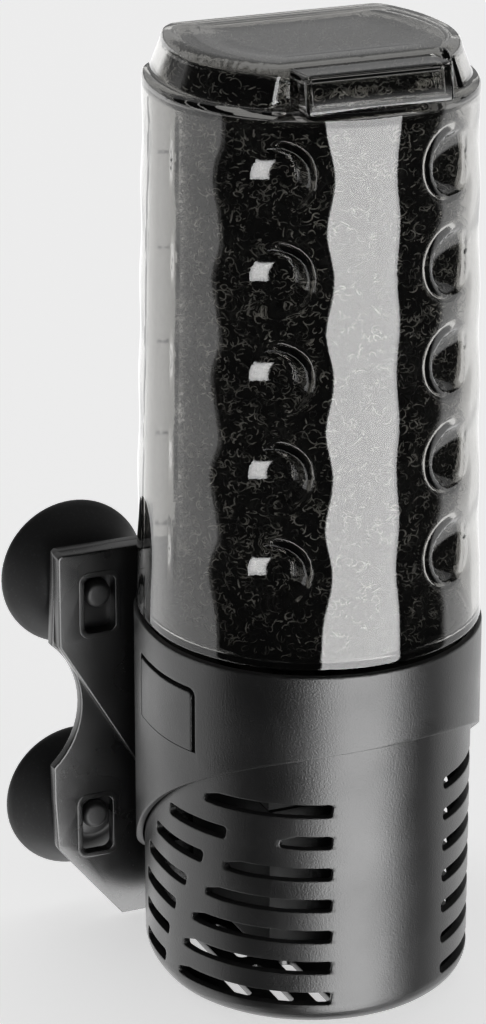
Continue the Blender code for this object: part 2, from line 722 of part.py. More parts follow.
def build_stator(parent):
    low, high = STATOR_MIDDLE - STACK_HEIGHT / 2, STATOR_MIDDLE + STACK_HEIGHT / 2
    leg_in, leg_out = 0.0078, 0.0152
    front = PUMP_Y - 0.0080
    core = solid("stator_core", STEEL, lambda bm: add_box(
        bm, (-leg_out, front, low), (leg_out, YOKE_BACK, high)), parent=parent)
    cut(core, lambda bm: add_box(bm, (-leg_in, front - 0.001, low - 0.001),
                                 (leg_in, YOKE_FRONT, high + 0.001)))
    cut(core, lambda bm: add_rod(bm, (0, PUMP_Y, low - 0.001), (0, PUMP_Y, high + 0.001),
                                 WELL_RADIUS + WELL_WALL + GAP, segments=28))

    def sleeve_box(bm, margin, half_width):
        add_box(bm, (-half_width, YOKE_FRONT - margin, low - margin),
                (half_width, YOKE_BACK + margin, high + margin))

    half_width = 0.0072
    bobbin = solid("coil_bobbin", GREY_PLASTIC, lambda bm: sleeve_box(bm, 0.0040, half_width),
                   parent=parent)

    def winding_space(bm):
        sleeve_box(bm, 0.0060, half_width - 0.0010)

    bobbin_core = solid("bobbin_core", GREY_PLASTIC, winding_space)
    cut(bobbin_core, lambda bm: sleeve_box(bm, 0.0011, half_width + 0.001))
    apply_tool(bobbin, "DIFFERENCE", bobbin_core)
    cut(bobbin, lambda bm: sleeve_box(bm, GAP, half_width + 0.001))

    winding_half = half_width - 0.0010 - GAP
    winding = solid("coil_winding", COPPER, lambda bm: sleeve_box(bm, 0.0037, winding_half),
                    parent=parent)
    rounding = winding.modifiers.new("Round", "BEVEL")
    rounding.width = 0.0016
    rounding.segments = 2
    rounding.limit_method = "ANGLE"
    cut(winding, lambda bm: sleeve_box(bm, 0.0011 + GAP, winding_half + 0.001))


def build_rotor(parent):
    middle = (0.0, PUMP_Y, 0.0)
    bore = SHAFT_RADIUS + GAP
    magnet_low, magnet_high = 0.0190, 0.0410
    turned("rotor_magnet", FERRITE,
           [(0.0066, magnet_high), (0.0066, magnet_low), (bore, magnet_low), (bore, magnet_high)],
           middle, parent=parent)
    hub_low, disc_low, disc_high, hub_high = 0.0413, 0.0480, 0.0492, 0.0575
    hub = [(0.0034, hub_high), (0.0034, disc_high), (0.0108, disc_high), (0.0108, disc_low),
           (0.0050, disc_low), (0.0050, hub_low), (bore, hub_low), (bore, hub_high)]
    impeller = turned("impeller", BLUE_PLASTIC, hub, middle, parent=parent)

    def blades(bm):
        for index in range(6):
            before = set(bm.verts)
            add_box(bm, (0.0030, -0.0005, disc_high - 0.0004), (0.0106, 0.0005, hub_high - 0.0012))
            turn = Matrix.Translation((0, PUMP_Y, 0)) @ Matrix.Rotation(index * math.pi / 3, 4, "Z")
            new = [vert for vert in bm.verts if vert not in before]
            bmesh.ops.transform(bm, matrix=turn, verts=new)

    join(impeller, blades)
    shaft_low, shaft_high = 0.0162, 0.0630
    turned("impeller_shaft", CERAMIC,
           [(0.0, shaft_high), (SHAFT_RADIUS, shaft_high), (SHAFT_RADIUS, shaft_low), (0.0, shaft_low)],
           middle, closed=False, segments=16, parent=parent)
    bushes = [("bush_lower", 0.0158, 0.0184, 0.0046), ("bush_upper", 0.0600, 0.0632, 0.0028)]
    for name, low, high, radius in bushes:
        turned(name, RUBBER, [(radius, high), (radius, low), (bore, low), (bore, high)],
               middle, segments=20, parent=parent)


def build_chamber(parent):
    low, high, radius = CHAMBER_LOW, CHAMBER_HIGH, CHAMBER_RADIUS
    socket_outer = SOCKET_RADIUS + 0.0014
    axis = Vector((0.0, PUMP_Y, 0.0))
    outer = [(0.0, SOCKET_HIGH), (socket_outer, SOCKET_HIGH), (socket_outer, high), (radius, high),
             (radius, low + 0.0016), (radius + 0.0022, low + 0.0016), (radius + 0.0022, low), (0.0, low)]
    chamber = turned("impeller_chamber", BLACK_HOUSING, outer, axis, closed=False, segments=28,
                     parent=parent)
    start, direction = outlet_frame()
    pipe_end = outlet_wall_point() - direction * 0.0060

    def pipe(bm):
        add_rod(bm, start + direction * 0.003, pipe_end, OUTLET_PIPE_RADIUS, segments=24)

    def lugs(bm):
        for point in pump_screw_points():
            add_rod(bm, point + Vector((0, 0, high - 0.0010)), point + Vector((0, 0, DECK_LOW - GAP)),
                    0.0028, segments=16)

    def inside(bm):
        add_rod(bm, axis + Vector((0, 0, low - 0.001)), axis + Vector((0, 0, high - CHAMBER_WALL)),
                radius - CHAMBER_WALL, segments=28)

    def bore(bm):
        add_rod(bm, start + direction * 0.004, pipe_end + direction * 0.002, OUTLET_BORE_RADIUS,
                segments=24)

    def socket(bm):
        add_rod(bm, axis + Vector((0, 0, 0.0655)), axis + Vector((0, 0, SOCKET_HIGH + 0.001)),
                SOCKET_RADIUS, segments=24)

    def eye(bm):
        for index in range(3):
            middle = math.radians(30 + 120 * index)
            points = []
            for radius_at, sweep in ((0.0044, 1), (SOCKET_RADIUS - 0.0004, -1)):
                for step in range(5):
                    angle = middle + sweep * math.radians(-44 + 22 * step)
                    spot = Vector((radius_at * math.cos(angle), radius_at * math.sin(angle), 0.0600))
                    points.append(axis + spot)
            add_prism(bm, points, (0.0, 0.0, 0.0070))

    def screw_holes(bm):
        add_rod(bm, axis + Vector((0, 0, 0.0590)), axis + Vector((0, 0, 0.0670)), 0.0031, segments=20)
        for point in pump_screw_points():
            add_rod(bm, point + Vector((0, 0, 0.0640)), point + Vector((0, 0, 0.0690)), 0.0012,
                    segments=12)

    join(chamber, pipe)
    join(chamber, lugs)
    cut(chamber, inside)
    cut(chamber, bore)
    cut(chamber, socket)
    cut(chamber, eye)
    cut(chamber, screw_holes)
    seal_height = Vector((0.0, 0.0, 0.0705))
    turned("intake_seal", RUBBER, seal_profile(0.0055, 0.00042), axis + seal_height, segments=18,
           parent=parent)
    for index, point in enumerate(pump_screw_points(), start=1):
        head, shank = 0.0023, 0.0009
        profile = [(0.0, 0.0711), (head - 0.0005, 0.0711), (head, 0.0706), (head, 0.0698),
                   (shank, 0.0698), (shank, 0.0648), (0.0, 0.0643)]
        turned(f"pump_screw_{index}", STAINLESS, profile, point, closed=False, segments=14, parent=parent)


def build_nozzle(parent):
    """Outlet nozzle on the collar's right: it turns about its spigot, and its spout is angled."""
    direction = outlet_frame()[1]
    face = outlet_wall_point()
    flange_start = 0.0022
    wall = 0.0009
    profile = [(NOZZLE_RADIUS, 0.0085), (NOZZLE_RADIUS, 0.0038),
               (NOZZLE_FLANGE_RADIUS - 0.0012, 0.0038),
               (NOZZLE_FLANGE_RADIUS, 0.0028), (NOZZLE_FLANGE_RADIUS, flange_start),
               (NOZZLE_RADIUS, flange_start), (NOZZLE_RADIUS, -0.0130),
               (NOZZLE_RADIUS - wall, -0.0130), (NOZZLE_RADIUS - wall, 0.0085)]
    nozzle = turned("outlet_nozzle", BLACK_PLASTIC, profile, face, axis=direction, parent=parent)

    def cap(bm):
        tip = face + direction * 0.0083
        add_rod(bm, tip, tip + direction * 0.0011, NOZZLE_RADIUS)

    def mouth(bm):
        centre = face + direction * 0.0061
        add_box(bm, (-0.0026, 0.0, -0.0021), (0.0026, 0.0060, 0.0021))
        turn = Vector((0.0, 0.0, -1.0)).to_track_quat("Y", "Z")
        bmesh.ops.transform(bm, verts=bm.verts, matrix=Matrix.LocRotScale(centre, turn, None))

    join(nozzle, cap)
    cut(nozzle, mouth)
    seal_at = face - direction * 0.0095
    turned("nozzle_seal", RUBBER, seal_profile(0.00455, 0.00038), seal_at, axis=direction, segments=18,
           parent=parent)


def build_cable(parent):
    centre, outward = gland_frame()
    bore = CABLE_RADIUS + GAP
    profile = [(0.0031, 0.0062), (0.0035, 0.0030), (0.0043, 0.0024), (0.0043, 0.0005),
               (0.0034, 0.0005), (0.0034, -0.0024), (0.0039, -0.0028), (0.0039, -0.0040),
               (bore, -0.0040), (bore, 0.0062)]
    turned("cable_gland", RUBBER, profile, centre, axis=outward, segments=20, parent=parent)

    curve = bpy.data.curves.new("cable", "CURVE")
    curve.dimensions = "3D"
    curve.bevel_depth = CABLE_RADIUS
    curve.bevel_resolution = 2
    curve.resolution_u = 5
    curve.use_fill_caps = True
    spline = curve.splines.new("BEZIER")
    riser = centre + outward * 0.0130
    points = [Vector((0.0115, 0.0182, CHAMBER_LOW + GAP)), Vector((0.0115, 0.0182, 0.0575)),
              centre - outward * 0.0120, centre + outward * 0.0062,
              riser + Vector((0, 0, 0.0080)), riser + Vector((0, 0, 0.0330))]
    up = Vector((0, 0, 1))
    directions = [up, up, outward, outward, up, up]
    handles = [0.003, 0.004, 0.005, 0.005, 0.005, 0.008]
    spline.bezier_points.add(len(points) - 1)
    for knot, point, heading, reach in zip(spline.bezier_points, points, directions, handles):
        knot.co = point
        knot.handle_left = point - heading * reach
        knot.handle_right = point + heading * reach
    curve.materials.append(CABLE_SHEATH)
    cable = bpy.data.objects.new("cable", curve)
    PARTS.objects.link(cable)
    place(cable, (0.0, 0.0, 0.0), parent)


# ---------------------------------------------------------------- bracket and suction cups

def bracket_outline():
    """(x, z) outline of the bracket's back plate: two wings on each side with a waist between them."""
    low = WAIST_CENTRE_Z - 0.0138
    right = [(0.0288, BRACKET_BOTTOM), (BRACKET_HALF_WIDTH, 0.0185),
             (BRACKET_HALF_WIDTH + 0.0006, 0.0220),
             (BRACKET_HALF_WIDTH + 0.0006, low - 0.0015)]
    reach = math.asin(0.0138 / WAIST_RADIUS)
    for step in range(9):
        angle = -reach + 2 * reach * step / 8
        right.append((WAIST_CENTRE_X - WAIST_RADIUS * math.cos(angle),
                      WAIST_CENTRE_Z + WAIST_RADIUS * math.sin(angle)))
    right.append((BRACKET_HALF_WIDTH, BRACKET_TOP))
    return right + [(-x, z) for x, z in reversed(right)]


def build_bracket(parent):
    bracket = solid("bracket", BLACK_PLASTIC,
                    lambda bm: add_slab(bm, bracket_outline(), BRACKET_STEP, BRACKET_BACK), parent=parent)
    front_plate = [(0.0240, 0.0330), (BRACKET_HALF_WIDTH, 0.0654), (BRACKET_HALF_WIDTH, BRACKET_TOP)]
    front_plate += [(-x, z) for x, z in reversed(front_plate)]
    boss_half, boss_low, boss_high = 0.0102, 0.0360, 0.0660

    def front_layer(bm):
        add_slab(bm, front_plate, BRACKET_FRONT, BRACKET_STEP + 0.001)

    def slide_boss(bm):
        add_box(bm, (-boss_half, BACK_FLAT + 0.0004, boss_low), (boss_half, BRACKET_STEP, boss_high))

    def cup_bosses(bm):
        for side in (-1, 1):
            for name, height in CUP_HEIGHTS.items():
                front = BRACKET_FRONT - 0.0009 if name == "upper" else BRACKET_STEP - 0.0022
                add_box(bm, (side * CUP_X - 0.0046, front, height - 0.0062),
                        (side * CUP_X + 0.0046, BRACKET_BACK - 0.001, height + 0.0072))

    def slide_groove(bm):
        add_box(bm, (-RAIL_WEB_HALF - 0.0004, BACK_FLAT - 0.002, boss_low - 0.040),
                (RAIL_WEB_HALF + 0.0004, RAIL_STEP + 0.0005, boss_high + 0.040))

    def head_groove(bm):
        add_box(bm, (-RAIL_HEAD_HALF - 0.0004, RAIL_STEP - 0.0003, boss_low - 0.040),
                (RAIL_HEAD_HALF + 0.0004, RAIL_BACK + 0.0003, boss_high + 0.040))

    def cup_holes(bm):
        for side in (-1, 1):
            for height in CUP_HEIGHTS.values():
                add_rod(bm, (side * CUP_X, 0.024, height), (side * CUP_X, BRACKET_BACK + 0.001, height),
                        0.0029, segments=16)

    def cup_pockets(bm):
        for side in (-1, 1):
            for name, height in CUP_HEIGHTS.items():
                step = BRACKET_FRONT if name == "upper" else BRACKET_STEP
                add_box(bm, (side * CUP_X - 0.0034, 0.024, height - 0.0080),
                        (side * CUP_X + 0.0034, step + 0.0010, height + 0.0045))

    join(bracket, front_layer)
    join(bracket, slide_boss)
    join(bracket, cup_bosses)
    cut(bracket, slide_groove)
    cut(bracket, head_groove)
    cut(bracket, cup_holes)
    cut(bracket, cup_pockets)
    return bracket


def build_suction_cups(parent):
    for level, height in CUP_HEIGHTS.items():
        seat = BRACKET_FRONT if level == "upper" else BRACKET_STEP
        head_front, head_back = seat - 0.0008, seat + 0.0007
        neck, head = 0.0025, 0.0031
        back = BRACKET_BACK + GAP
        for word, side in (("left", -1), ("right", 1)):
            profile = [(CUP_RADIUS, -CUP_RIM_Y), (CUP_RADIUS - CUP_LIP, -CUP_RIM_Y)]
            inner = [(0.0122, -CUP_RIM_Y + 0.0022), (0.0075, -CUP_RIM_Y + 0.0046),
                     (0.0, -CUP_RIM_Y + 0.0058)]
            outer = [(0.0, -head_front), (head - 0.0006, -head_front), (head, -head_front - 0.0005),
                     (head, -head_back), (neck, -head_back), (neck, -back), (0.0052, -back),
                     (0.0060, -back - 0.0016), (0.0105, -back - 0.0036), (0.0143, -back - 0.0072),
                     (CUP_RADIUS, -CUP_RIM_Y + 0.0008)]
            turned(f"suction_cup_{level}_{word}", RUBBER, outer + profile + inner,
                   (side * CUP_X, 0.0, height), axis=(0.0, -1.0, 0.0), closed=False, segments=22,
                   parent=parent)


def build():
    collar = build_collar()
    for side in (-1, 1):
        build_latch(side, collar)
    build_strainer(collar)
    container = build_container()
    build_sponge(container)
    build_core_tube(container)
    build_bottom_grid(container)
    build_motor(collar)
    build_stator(collar)
    build_rotor(collar)
    build_chamber(collar)
    build_nozzle(collar)
    build_cable(collar)
    bracket = build_bracket(collar)
    build_suction_cups(bracket)


build()
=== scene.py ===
"""Looks of the internal power filter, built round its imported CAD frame.

Satin black collar and strainer with moulded slots, a glossy clear container with pressed pockets over
black open-cell foam, and a bracket with four suction cups.  Metres, in the frame of the CAD.
"""
import math
import random

import bmesh
import bpy
from mathutils import Matrix, Vector, noise


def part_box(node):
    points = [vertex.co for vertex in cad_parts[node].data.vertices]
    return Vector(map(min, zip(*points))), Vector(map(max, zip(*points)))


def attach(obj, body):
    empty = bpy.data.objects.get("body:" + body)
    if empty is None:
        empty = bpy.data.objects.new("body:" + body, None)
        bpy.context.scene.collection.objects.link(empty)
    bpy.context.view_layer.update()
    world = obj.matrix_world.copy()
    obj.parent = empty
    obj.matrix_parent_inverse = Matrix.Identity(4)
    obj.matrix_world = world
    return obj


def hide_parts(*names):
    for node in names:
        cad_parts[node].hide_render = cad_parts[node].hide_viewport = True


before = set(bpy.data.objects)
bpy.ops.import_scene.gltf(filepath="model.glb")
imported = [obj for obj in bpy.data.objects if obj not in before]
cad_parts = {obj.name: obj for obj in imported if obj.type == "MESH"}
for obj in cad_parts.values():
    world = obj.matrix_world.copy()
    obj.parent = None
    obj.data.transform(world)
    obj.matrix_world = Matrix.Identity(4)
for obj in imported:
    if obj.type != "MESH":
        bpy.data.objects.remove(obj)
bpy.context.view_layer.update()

MM = 0.001
MERGE_DISTANCE = 0.002 * MM
UPWARDS, FORWARDS = Vector((0.0, 0.0, 1.0)), Vector((0.0, -1.0, 0.0))

# ---------------------------------------------------------------- sizes, from the frame's boxes

COLLAR_LOW, COLLAR_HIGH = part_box("collar")
CONTAINER_LOW, CONTAINER_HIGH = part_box("container")
BRACKET_LOW, BRACKET_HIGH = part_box("bracket")

# Plan outline: a quarter circle, a short straight, a gently curved side, a round corner and a flat back
BODY_FRONT = COLLAR_LOW.y
BODY_RADIUS = COLLAR_HIGH.x
SIDE_STRAIGHT = 1.7 * MM
SIDE_RADIUS, SIDE_TURN = 47.0 * MM, math.radians(23.6)
CORNER_RADIUS = 11.0 * MM
SIDE_CENTRE = Vector((BODY_RADIUS - SIDE_RADIUS, BODY_FRONT + BODY_RADIUS + SIDE_STRAIGHT))
HALF_BACK = SIDE_CENTRE.x + (SIDE_RADIUS - CORNER_RADIUS) * math.cos(SIDE_TURN)
FOOT_INSET = 0.4 * MM
BACK_FLAT = CONTAINER_HIGH.y + FOOT_INSET
RUNS = [(BODY_RADIUS, BODY_RADIUS * math.pi / 2), (math.inf, SIDE_STRAIGHT),
        (SIDE_RADIUS, SIDE_RADIUS * SIDE_TURN), (CORNER_RADIUS, CORNER_RADIUS * (math.pi / 2 - SIDE_TURN)),
        (math.inf, HALF_BACK)]
HALF_ROUND = sum(length for _, length in RUNS)
SIDE_START = RUNS[0][1] + RUNS[1][1]

COLLAR_WALL = 1.5 * MM
RIM_HEIGHT = COLLAR_HIGH.z
STRAINER_INSET = 1.8 * MM
STRAINER_WALL = 1.7 * MM
STRAINER_OVERLAP = 2.6 * MM
STRAINER_ROUNDING = 5.5 * MM

LATCH_STATIONS = (39.9 * MM, 62.6 * MM)
LATCH_HEIGHTS = (57.35 * MM, 70.9 * MM)
LATCH_GAPS = {"front": 0.9 * MM, "back": 0.4 * MM, "top": 0.9 * MM, "bottom": 0.16 * MM}
NO_GAPS = dict.fromkeys(LATCH_GAPS, 0.0)
LATCH_CORNER = 1.6 * MM

SKIRT_INSET = 3.4 * MM
SHOULDER_INSET = 2.5 * MM
CONTAINER_FOOT = 78.4 * MM
SHOULDER_HEIGHT = 188.5 * MM
TOP_HEIGHT = CONTAINER_HIGH.z
CONTAINER_WALL = 1.6 * MM
FOOT_ROUNDING = 0.6 * MM
SHOULDER_ROUNDING = 1.6 * MM
NECK_INSET = 4.3 * MM
NECK_DRAFT = 1.9 * MM
NECK_FRONT = 23.0 * MM
NECK_FILLET = 0.5 * MM
TOP_ROUNDING = 2.2 * MM
TOP_DISH = 0.45 * MM
RING_PITCH = 0.8 * MM
NO_LIMIT = 1.0
# (station, direction in degrees from the front) of each column of pockets
POCKET_COLUMNS = [(-23.5 * MM, -17.0), (19.9 * MM, 17.0), (-85.2 * MM, -180.0), (85.2 * MM, 180.0)]
POCKET_HEIGHTS = [(97.7 + 19.5 * row) * MM for row in range(5)]
GLAND_STATION = 73.6 * MM
OUTLET_BEARING = math.radians(110.0)

# Arched line where the collar ends over the strainer: its height at the origin, its lean to the right, and
# its slope and bend towards the back
PARTING_HEIGHT, PARTING_LEAN, PARTING_SLOPE, PARTING_BEND = 42.15 * MM, 0.0272, -0.7618, -6.22


# ---------------------------------------------------------------- material nodes

class Nodes:
    """A short way to write a node tree: each method adds a node and returns its output."""

    def __init__(self, tree):
        self.tree = tree
        tree.nodes.clear()

    def add(self, kind, inputs=(), **settings):
        node = self.tree.nodes.new(kind)
        for name, value in settings.items():
            setattr(node, name, value)
        for key, value in dict(inputs).items():
            if isinstance(value, bpy.types.NodeSocket):
                self.tree.links.new(value, node.inputs[key])
            else:
                node.inputs[key].default_value = value
        return node

    def math(self, operation, first, second=0.0, third=0.0):
        node = self.add("ShaderNodeMath", {0: first, 1: second, 2: third}, operation=operation)
        return node.outputs[0]

    def span(self, value, low, high, to_low=0.0, to_high=1.0, smooth=False):
        inputs = {"Value": value, "From Min": low, "From Max": high, "To Min": to_low, "To Max": to_high}
        kind = "SMOOTHSTEP" if smooth else "LINEAR"
        return self.add("ShaderNodeMapRange", inputs, interpolation_type=kind).outputs[0]

    def noise(self, scale, detail=2.0, roughness=0.5, vector=None):
        inputs = {"Scale": scale, "Detail": detail, "Roughness": roughness,
                  "Vector": vector or self.place()}
        return self.add("ShaderNodeTexNoise", inputs).outputs["Fac"]

    def place(self):
        return self.add("ShaderNodeTexCoord").outputs["Object"]

    def blend(self, factor, first, second):
        inputs = {"Factor": factor, 6: (*first, 1.0) if isinstance(first, tuple) else first,
                  7: (*second, 1.0) if isinstance(second, tuple) else second}
        return self.add("ShaderNodeMix", inputs, data_type="RGBA").outputs[2]

    def bump(self, height, strength, distance, normal=None):
        inputs = {"Height": height, "Strength": strength, "Distance": distance}
        if normal is not None:
            inputs["Normal"] = normal
        return self.add("ShaderNodeBump", inputs).outputs[0]

    def surface(self, inputs):
        shader = self.add("ShaderNodeBsdfPrincipled", inputs).outputs[0]
        self.output(shader)
        return shader

    def output(self, shader):
        self.add("ShaderNodeOutputMaterial", {"Surface": shader})


GRAIN_SIZE = 0.35 * MM


def new_material(name):
    material = bpy.data.materials.new(name)
    material.use_nodes = True
    return material, Nodes(material.node_tree)


def moulded_plastic(name, colour, roughness, grain):
    """Injection-moulded plastic: spark-eroded grain, slow gloss changes and faint handling marks."""
    material, nodes = new_material(name)
    fine = nodes.noise(1.0 / GRAIN_SIZE, 2.0, 0.6)
    slow = nodes.noise(60.0, 3.0)
    marks = nodes.noise(420.0, 4.0, 0.7)
    gloss = nodes.span(slow, 0.3, 0.7, roughness - 0.05, roughness + 0.05)
    gloss = nodes.math("ADD", gloss, nodes.span(marks, 0.62, 0.75, 0.0, 0.05))
    shade = nodes.span(slow, 0.25, 0.75, 0.85, 1.15)
    tint = nodes.blend(nodes.span(marks, 0.55, 0.8), colour, tuple(min(1.0, c * 1.5 + 0.004) for c in colour))
    tint = nodes.add("ShaderNodeVectorMath", {0: tint, "Scale": shade}, operation="SCALE").outputs[0]
    normal = nodes.bump(fine, grain, 0.10 * MM)
    normal = nodes.bump(slow, 0.08, 0.6 * MM, normal)
    nodes.surface({"Base Color": tint, "Roughness": gloss, "Normal": normal, "IOR": 1.58})
    return material


def clear_plastic():
    """Glossy smoke-tinted styrene; light that reaches the foam passes straight through it."""
    material, nodes = new_material("smoke_clear_plastic")
    waves = nodes.noise(45.0, 2.0, 0.4)
    specks = nodes.noise(900.0, 2.0)
    normal = nodes.bump(waves, 0.05, 1.2 * MM)
    gloss = nodes.span(specks, 0.55, 0.8, 0.015, 0.06)
    glass = nodes.add("ShaderNodeBsdfPrincipled", {
        "Base Color": (0.42, 0.415, 0.40, 1.0), "Roughness": gloss, "IOR": 1.53,
        "Transmission Weight": 1.0, "Normal": normal}).outputs[0]
    passing = nodes.add("ShaderNodeBsdfTransparent", {"Color": (0.95, 0.945, 0.93, 1.0)}).outputs[0]
    path = nodes.add("ShaderNodeLightPath")
    straight = nodes.math("MAXIMUM", path.outputs["Is Shadow Ray"], path.outputs["Is Diffuse Ray"])
    mixed = nodes.add("ShaderNodeMixShader", {0: straight, 1: glass, 2: passing}).outputs[0]
    nodes.output(mixed)
    return material


def foam_core():
    """Depth of the foam: almost black cells with their walls a little lighter."""
    material, nodes = new_material("foam_core")
    cells = nodes.add("ShaderNodeTexVoronoi", {"Scale": 620.0, "Vector": nodes.place()},
                      feature="DISTANCE_TO_EDGE").outputs["Distance"]
    walls = nodes.span(cells, 0.0, 0.12, 1.0, 0.0)
    patches = nodes.noise(180.0, 2.0)
    walls = nodes.math("MULTIPLY", walls, nodes.span(patches, 0.45, 0.65))
    tint = nodes.blend(walls, (0.004, 0.004, 0.004), (0.05, 0.05, 0.048))
    normal = nodes.bump(cells, 0.8, 0.5 * MM)
    nodes.surface({"Base Color": tint, "Roughness": 0.85, "Specular IOR Level": 0.2, "Normal": normal})
    return material


def foam_strut():
    """Struts of cut cells: black foam with patches painted pale grey as painted glints, and a soft shine."""
    material, nodes = new_material("foam_strut")
    patches = nodes.noise(330.0, 2.0)
    streaks = nodes.noise(2500.0, 1.0)
    # Painted glints: random patches of the black struts are painted pale grey in place of their highlights.
    tint = nodes.blend(nodes.span(patches, 0.42, 0.62), (0.014, 0.014, 0.014), (0.72, 0.71, 0.67))
    normal = nodes.bump(streaks, 0.3, 0.05 * MM)
    nodes.surface({"Base Color": tint, "Roughness": 0.42, "Normal": normal})
    return material


def rubber(name, colour, roughness=0.48):
    """Soft PVC: broad sheen, a bloom of fine dust and a slightly uneven skin."""
    material, nodes = new_material(name)
    slow = nodes.noise(90.0, 3.0)
    dust = nodes.noise(1500.0, 3.0, 0.7)
    gloss = nodes.span(slow, 0.3, 0.7, roughness - 0.06, roughness + 0.08)
    pale = tuple(c * 2.4 + 0.01 for c in colour)
    tint = nodes.blend(nodes.span(dust, 0.55, 0.85), colour, pale)
    normal = nodes.bump(dust, 0.12, 0.04 * MM)
    nodes.surface({"Base Color": tint, "Roughness": gloss, "Normal": normal,
                   "Sheen Weight": 0.03, "Sheen Roughness": 0.4})
    return material


def metal(name, colour, roughness):
    """Metal with fine directional scratches."""
    material, nodes = new_material(name)
    along = {"Vector": nodes.place(), "Scale": (1.0, 1.0, 0.08)}
    stretched = nodes.add("ShaderNodeMapping", along).outputs[0]
    scratches = nodes.noise(900.0, 3.0, 0.6, stretched)
    gloss = nodes.span(scratches, 0.3, 0.7, roughness - 0.08, roughness + 0.10)
    normal = nodes.bump(scratches, 0.15, 0.03 * MM)
    dull = tuple(c * 0.7 for c in colour)
    tint = nodes.blend(nodes.span(scratches, 0.35, 0.65), dull, colour)
    nodes.surface({"Base Color": tint, "Metallic": 1.0, "Roughness": gloss, "Normal": normal})
    return material


def banded(name, first, second, period, metallic, roughness, axis="Z"):
    """Layers such as stator sheets or turns of wire, as bands along one axis."""
    material, nodes = new_material(name)
    wave = nodes.add("ShaderNodeTexWave", {"Vector": nodes.place(), "Scale": 1.0 / period,
                                           "Distortion": 0.4, "Detail": 1.0},
                     bands_direction=axis).outputs["Fac"]
    tint = nodes.blend(wave, first, second)
    normal = nodes.bump(wave, 0.5, 0.08 * MM)
    nodes.surface({"Base Color": tint, "Metallic": metallic, "Roughness": roughness, "Normal": normal})
    return material


def ceramic(name):
    """Ground ceramic with faint grey clouds."""
    material, nodes = new_material(name)
    clouds = nodes.noise(500.0, 4.0)
    tint = nodes.blend(nodes.span(clouds, 0.4, 0.7), (0.80, 0.79, 0.75), (0.66, 0.65, 0.61))
    nodes.surface({"Base Color": tint, "Roughness": nodes.span(clouds, 0.3, 0.7, 0.12, 0.25),
                   "Normal": nodes.bump(clouds, 0.05, 0.02 * MM)})
    return material


SATIN_BLACK = moulded_plastic("satin_black", (0.0055, 0.0055, 0.0056), roughness=0.34, grain=0.55)
BRACKET_BLACK = moulded_plastic("bracket_black", (0.0045, 0.0045, 0.0046), roughness=0.27, grain=0.16)
PUMP_BLACK = moulded_plastic("pump_black", (0.005, 0.0052, 0.0054), roughness=0.62, grain=0.2)
GREY_PLASTIC = moulded_plastic("grey_plastic", (0.17, 0.18, 0.19), roughness=0.42, grain=0.15)
IMPELLER_BLUE = moulded_plastic("impeller_blue", (0.08, 0.17, 0.38), roughness=0.36, grain=0.12)
CUP_RUBBER = rubber("cup_rubber", (0.012, 0.012, 0.0125))
SEAL_RUBBER = rubber("seal_rubber", (0.016, 0.016, 0.016), 0.5)
CABLE_SHEATH = rubber("cable_sheath", (0.014, 0.014, 0.014), 0.42)
FERRITE = moulded_plastic("ferrite", (0.045, 0.043, 0.041), roughness=0.5, grain=0.4)
STAINLESS = metal("stainless", (0.62, 0.62, 0.63), 0.28)
STATOR_STEEL = banded("stator_sheets", (0.20, 0.20, 0.21), (0.50, 0.50, 0.52), 0.5 * MM, 0.9, 0.4)
COPPER = banded("copper_winding", (0.32, 0.12, 0.04), (0.72, 0.33, 0.14), 0.35 * MM, 0.9, 0.3, "X")
CERAMIC = ceramic("ceramic")
CLEAR = clear_plastic()
FOAM_CORE = foam_core()
FOAM_STRUT = foam_strut()

CAD_FINISHES = {
    "motor_housing": PUMP_BLACK, "motor_cover": PUMP_BLACK, "impeller_chamber": PUMP_BLACK,
    "stator_core": STATOR_STEEL, "coil_bobbin": GREY_PLASTIC, "coil_winding": COPPER,
    "impeller_shaft": CERAMIC, "bush_lower": SEAL_RUBBER, "bush_upper": SEAL_RUBBER,
    "intake_seal": SEAL_RUBBER, "nozzle_seal": SEAL_RUBBER, "cable_gland": CUP_RUBBER,
    "pump_screw_1": STAINLESS, "pump_screw_2": STAINLESS, "pump_screw_3": STAINLESS,
    "core_tube": GREY_PLASTIC, "bottom_grid": SATIN_BLACK, "rotor_magnet": FERRITE,
    "impeller": IMPELLER_BLUE, "outlet_nozzle": SATIN_BLACK,
}


def finish_cad_nodes():
    """New materials and smooth round faces on the CAD nodes that stay in view."""
    for name, material in CAD_FINISHES.items():
        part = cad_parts[name]
        part.data.materials.clear()
        part.data.materials.append(material)
        weld = part.modifiers.new("Weld", "WELD")
        weld.merge_threshold = MERGE_DISTANCE
        smooth_by_angle(part, 32.0)


def smooth_by_angle(part, degrees):
    """Smooth shading that keeps edges sharper than an angle, as modifiers."""
    part.data.shade_smooth()
    split = part.modifiers.new("Sharp", "EDGE_SPLIT")
    split.split_angle = math.radians(degrees)


# ---------------------------------------------------------------- shape helpers

def wall_frame(station):
    """Plan point on the body's outer face at a distance from its front centre, and the normal there."""
    left = min(abs(station), HALF_ROUND)
    x, y, heading = 0.0, BODY_FRONT, 0.0
    for radius, length in RUNS:
        step = min(left, length)
        turn = step / radius
        chord = 2 * radius * math.sin(turn / 2) if turn > 0.0 else step
        x += chord * math.cos(heading + turn / 2)
        y += chord * math.sin(heading + turn / 2)
        heading += turn
        left -= step
        if left <= 0.0:
            break
    side = math.copysign(1.0, station)
    return Vector((side * x, y)), Vector((side * math.sin(heading), -math.cos(heading)))


def wall_place(station, inset):
    point, normal = wall_frame(station)
    return point - normal * inset


def parting_height(x, y):
    """Height of the line where the collar ends over the strainer."""
    return PARTING_HEIGHT + PARTING_LEAN * x + PARTING_SLOPE * y + PARTING_BEND * y * y


def parting_at(station):
    place = wall_place(station, 0.0)
    return parting_height(place.x, place.y)


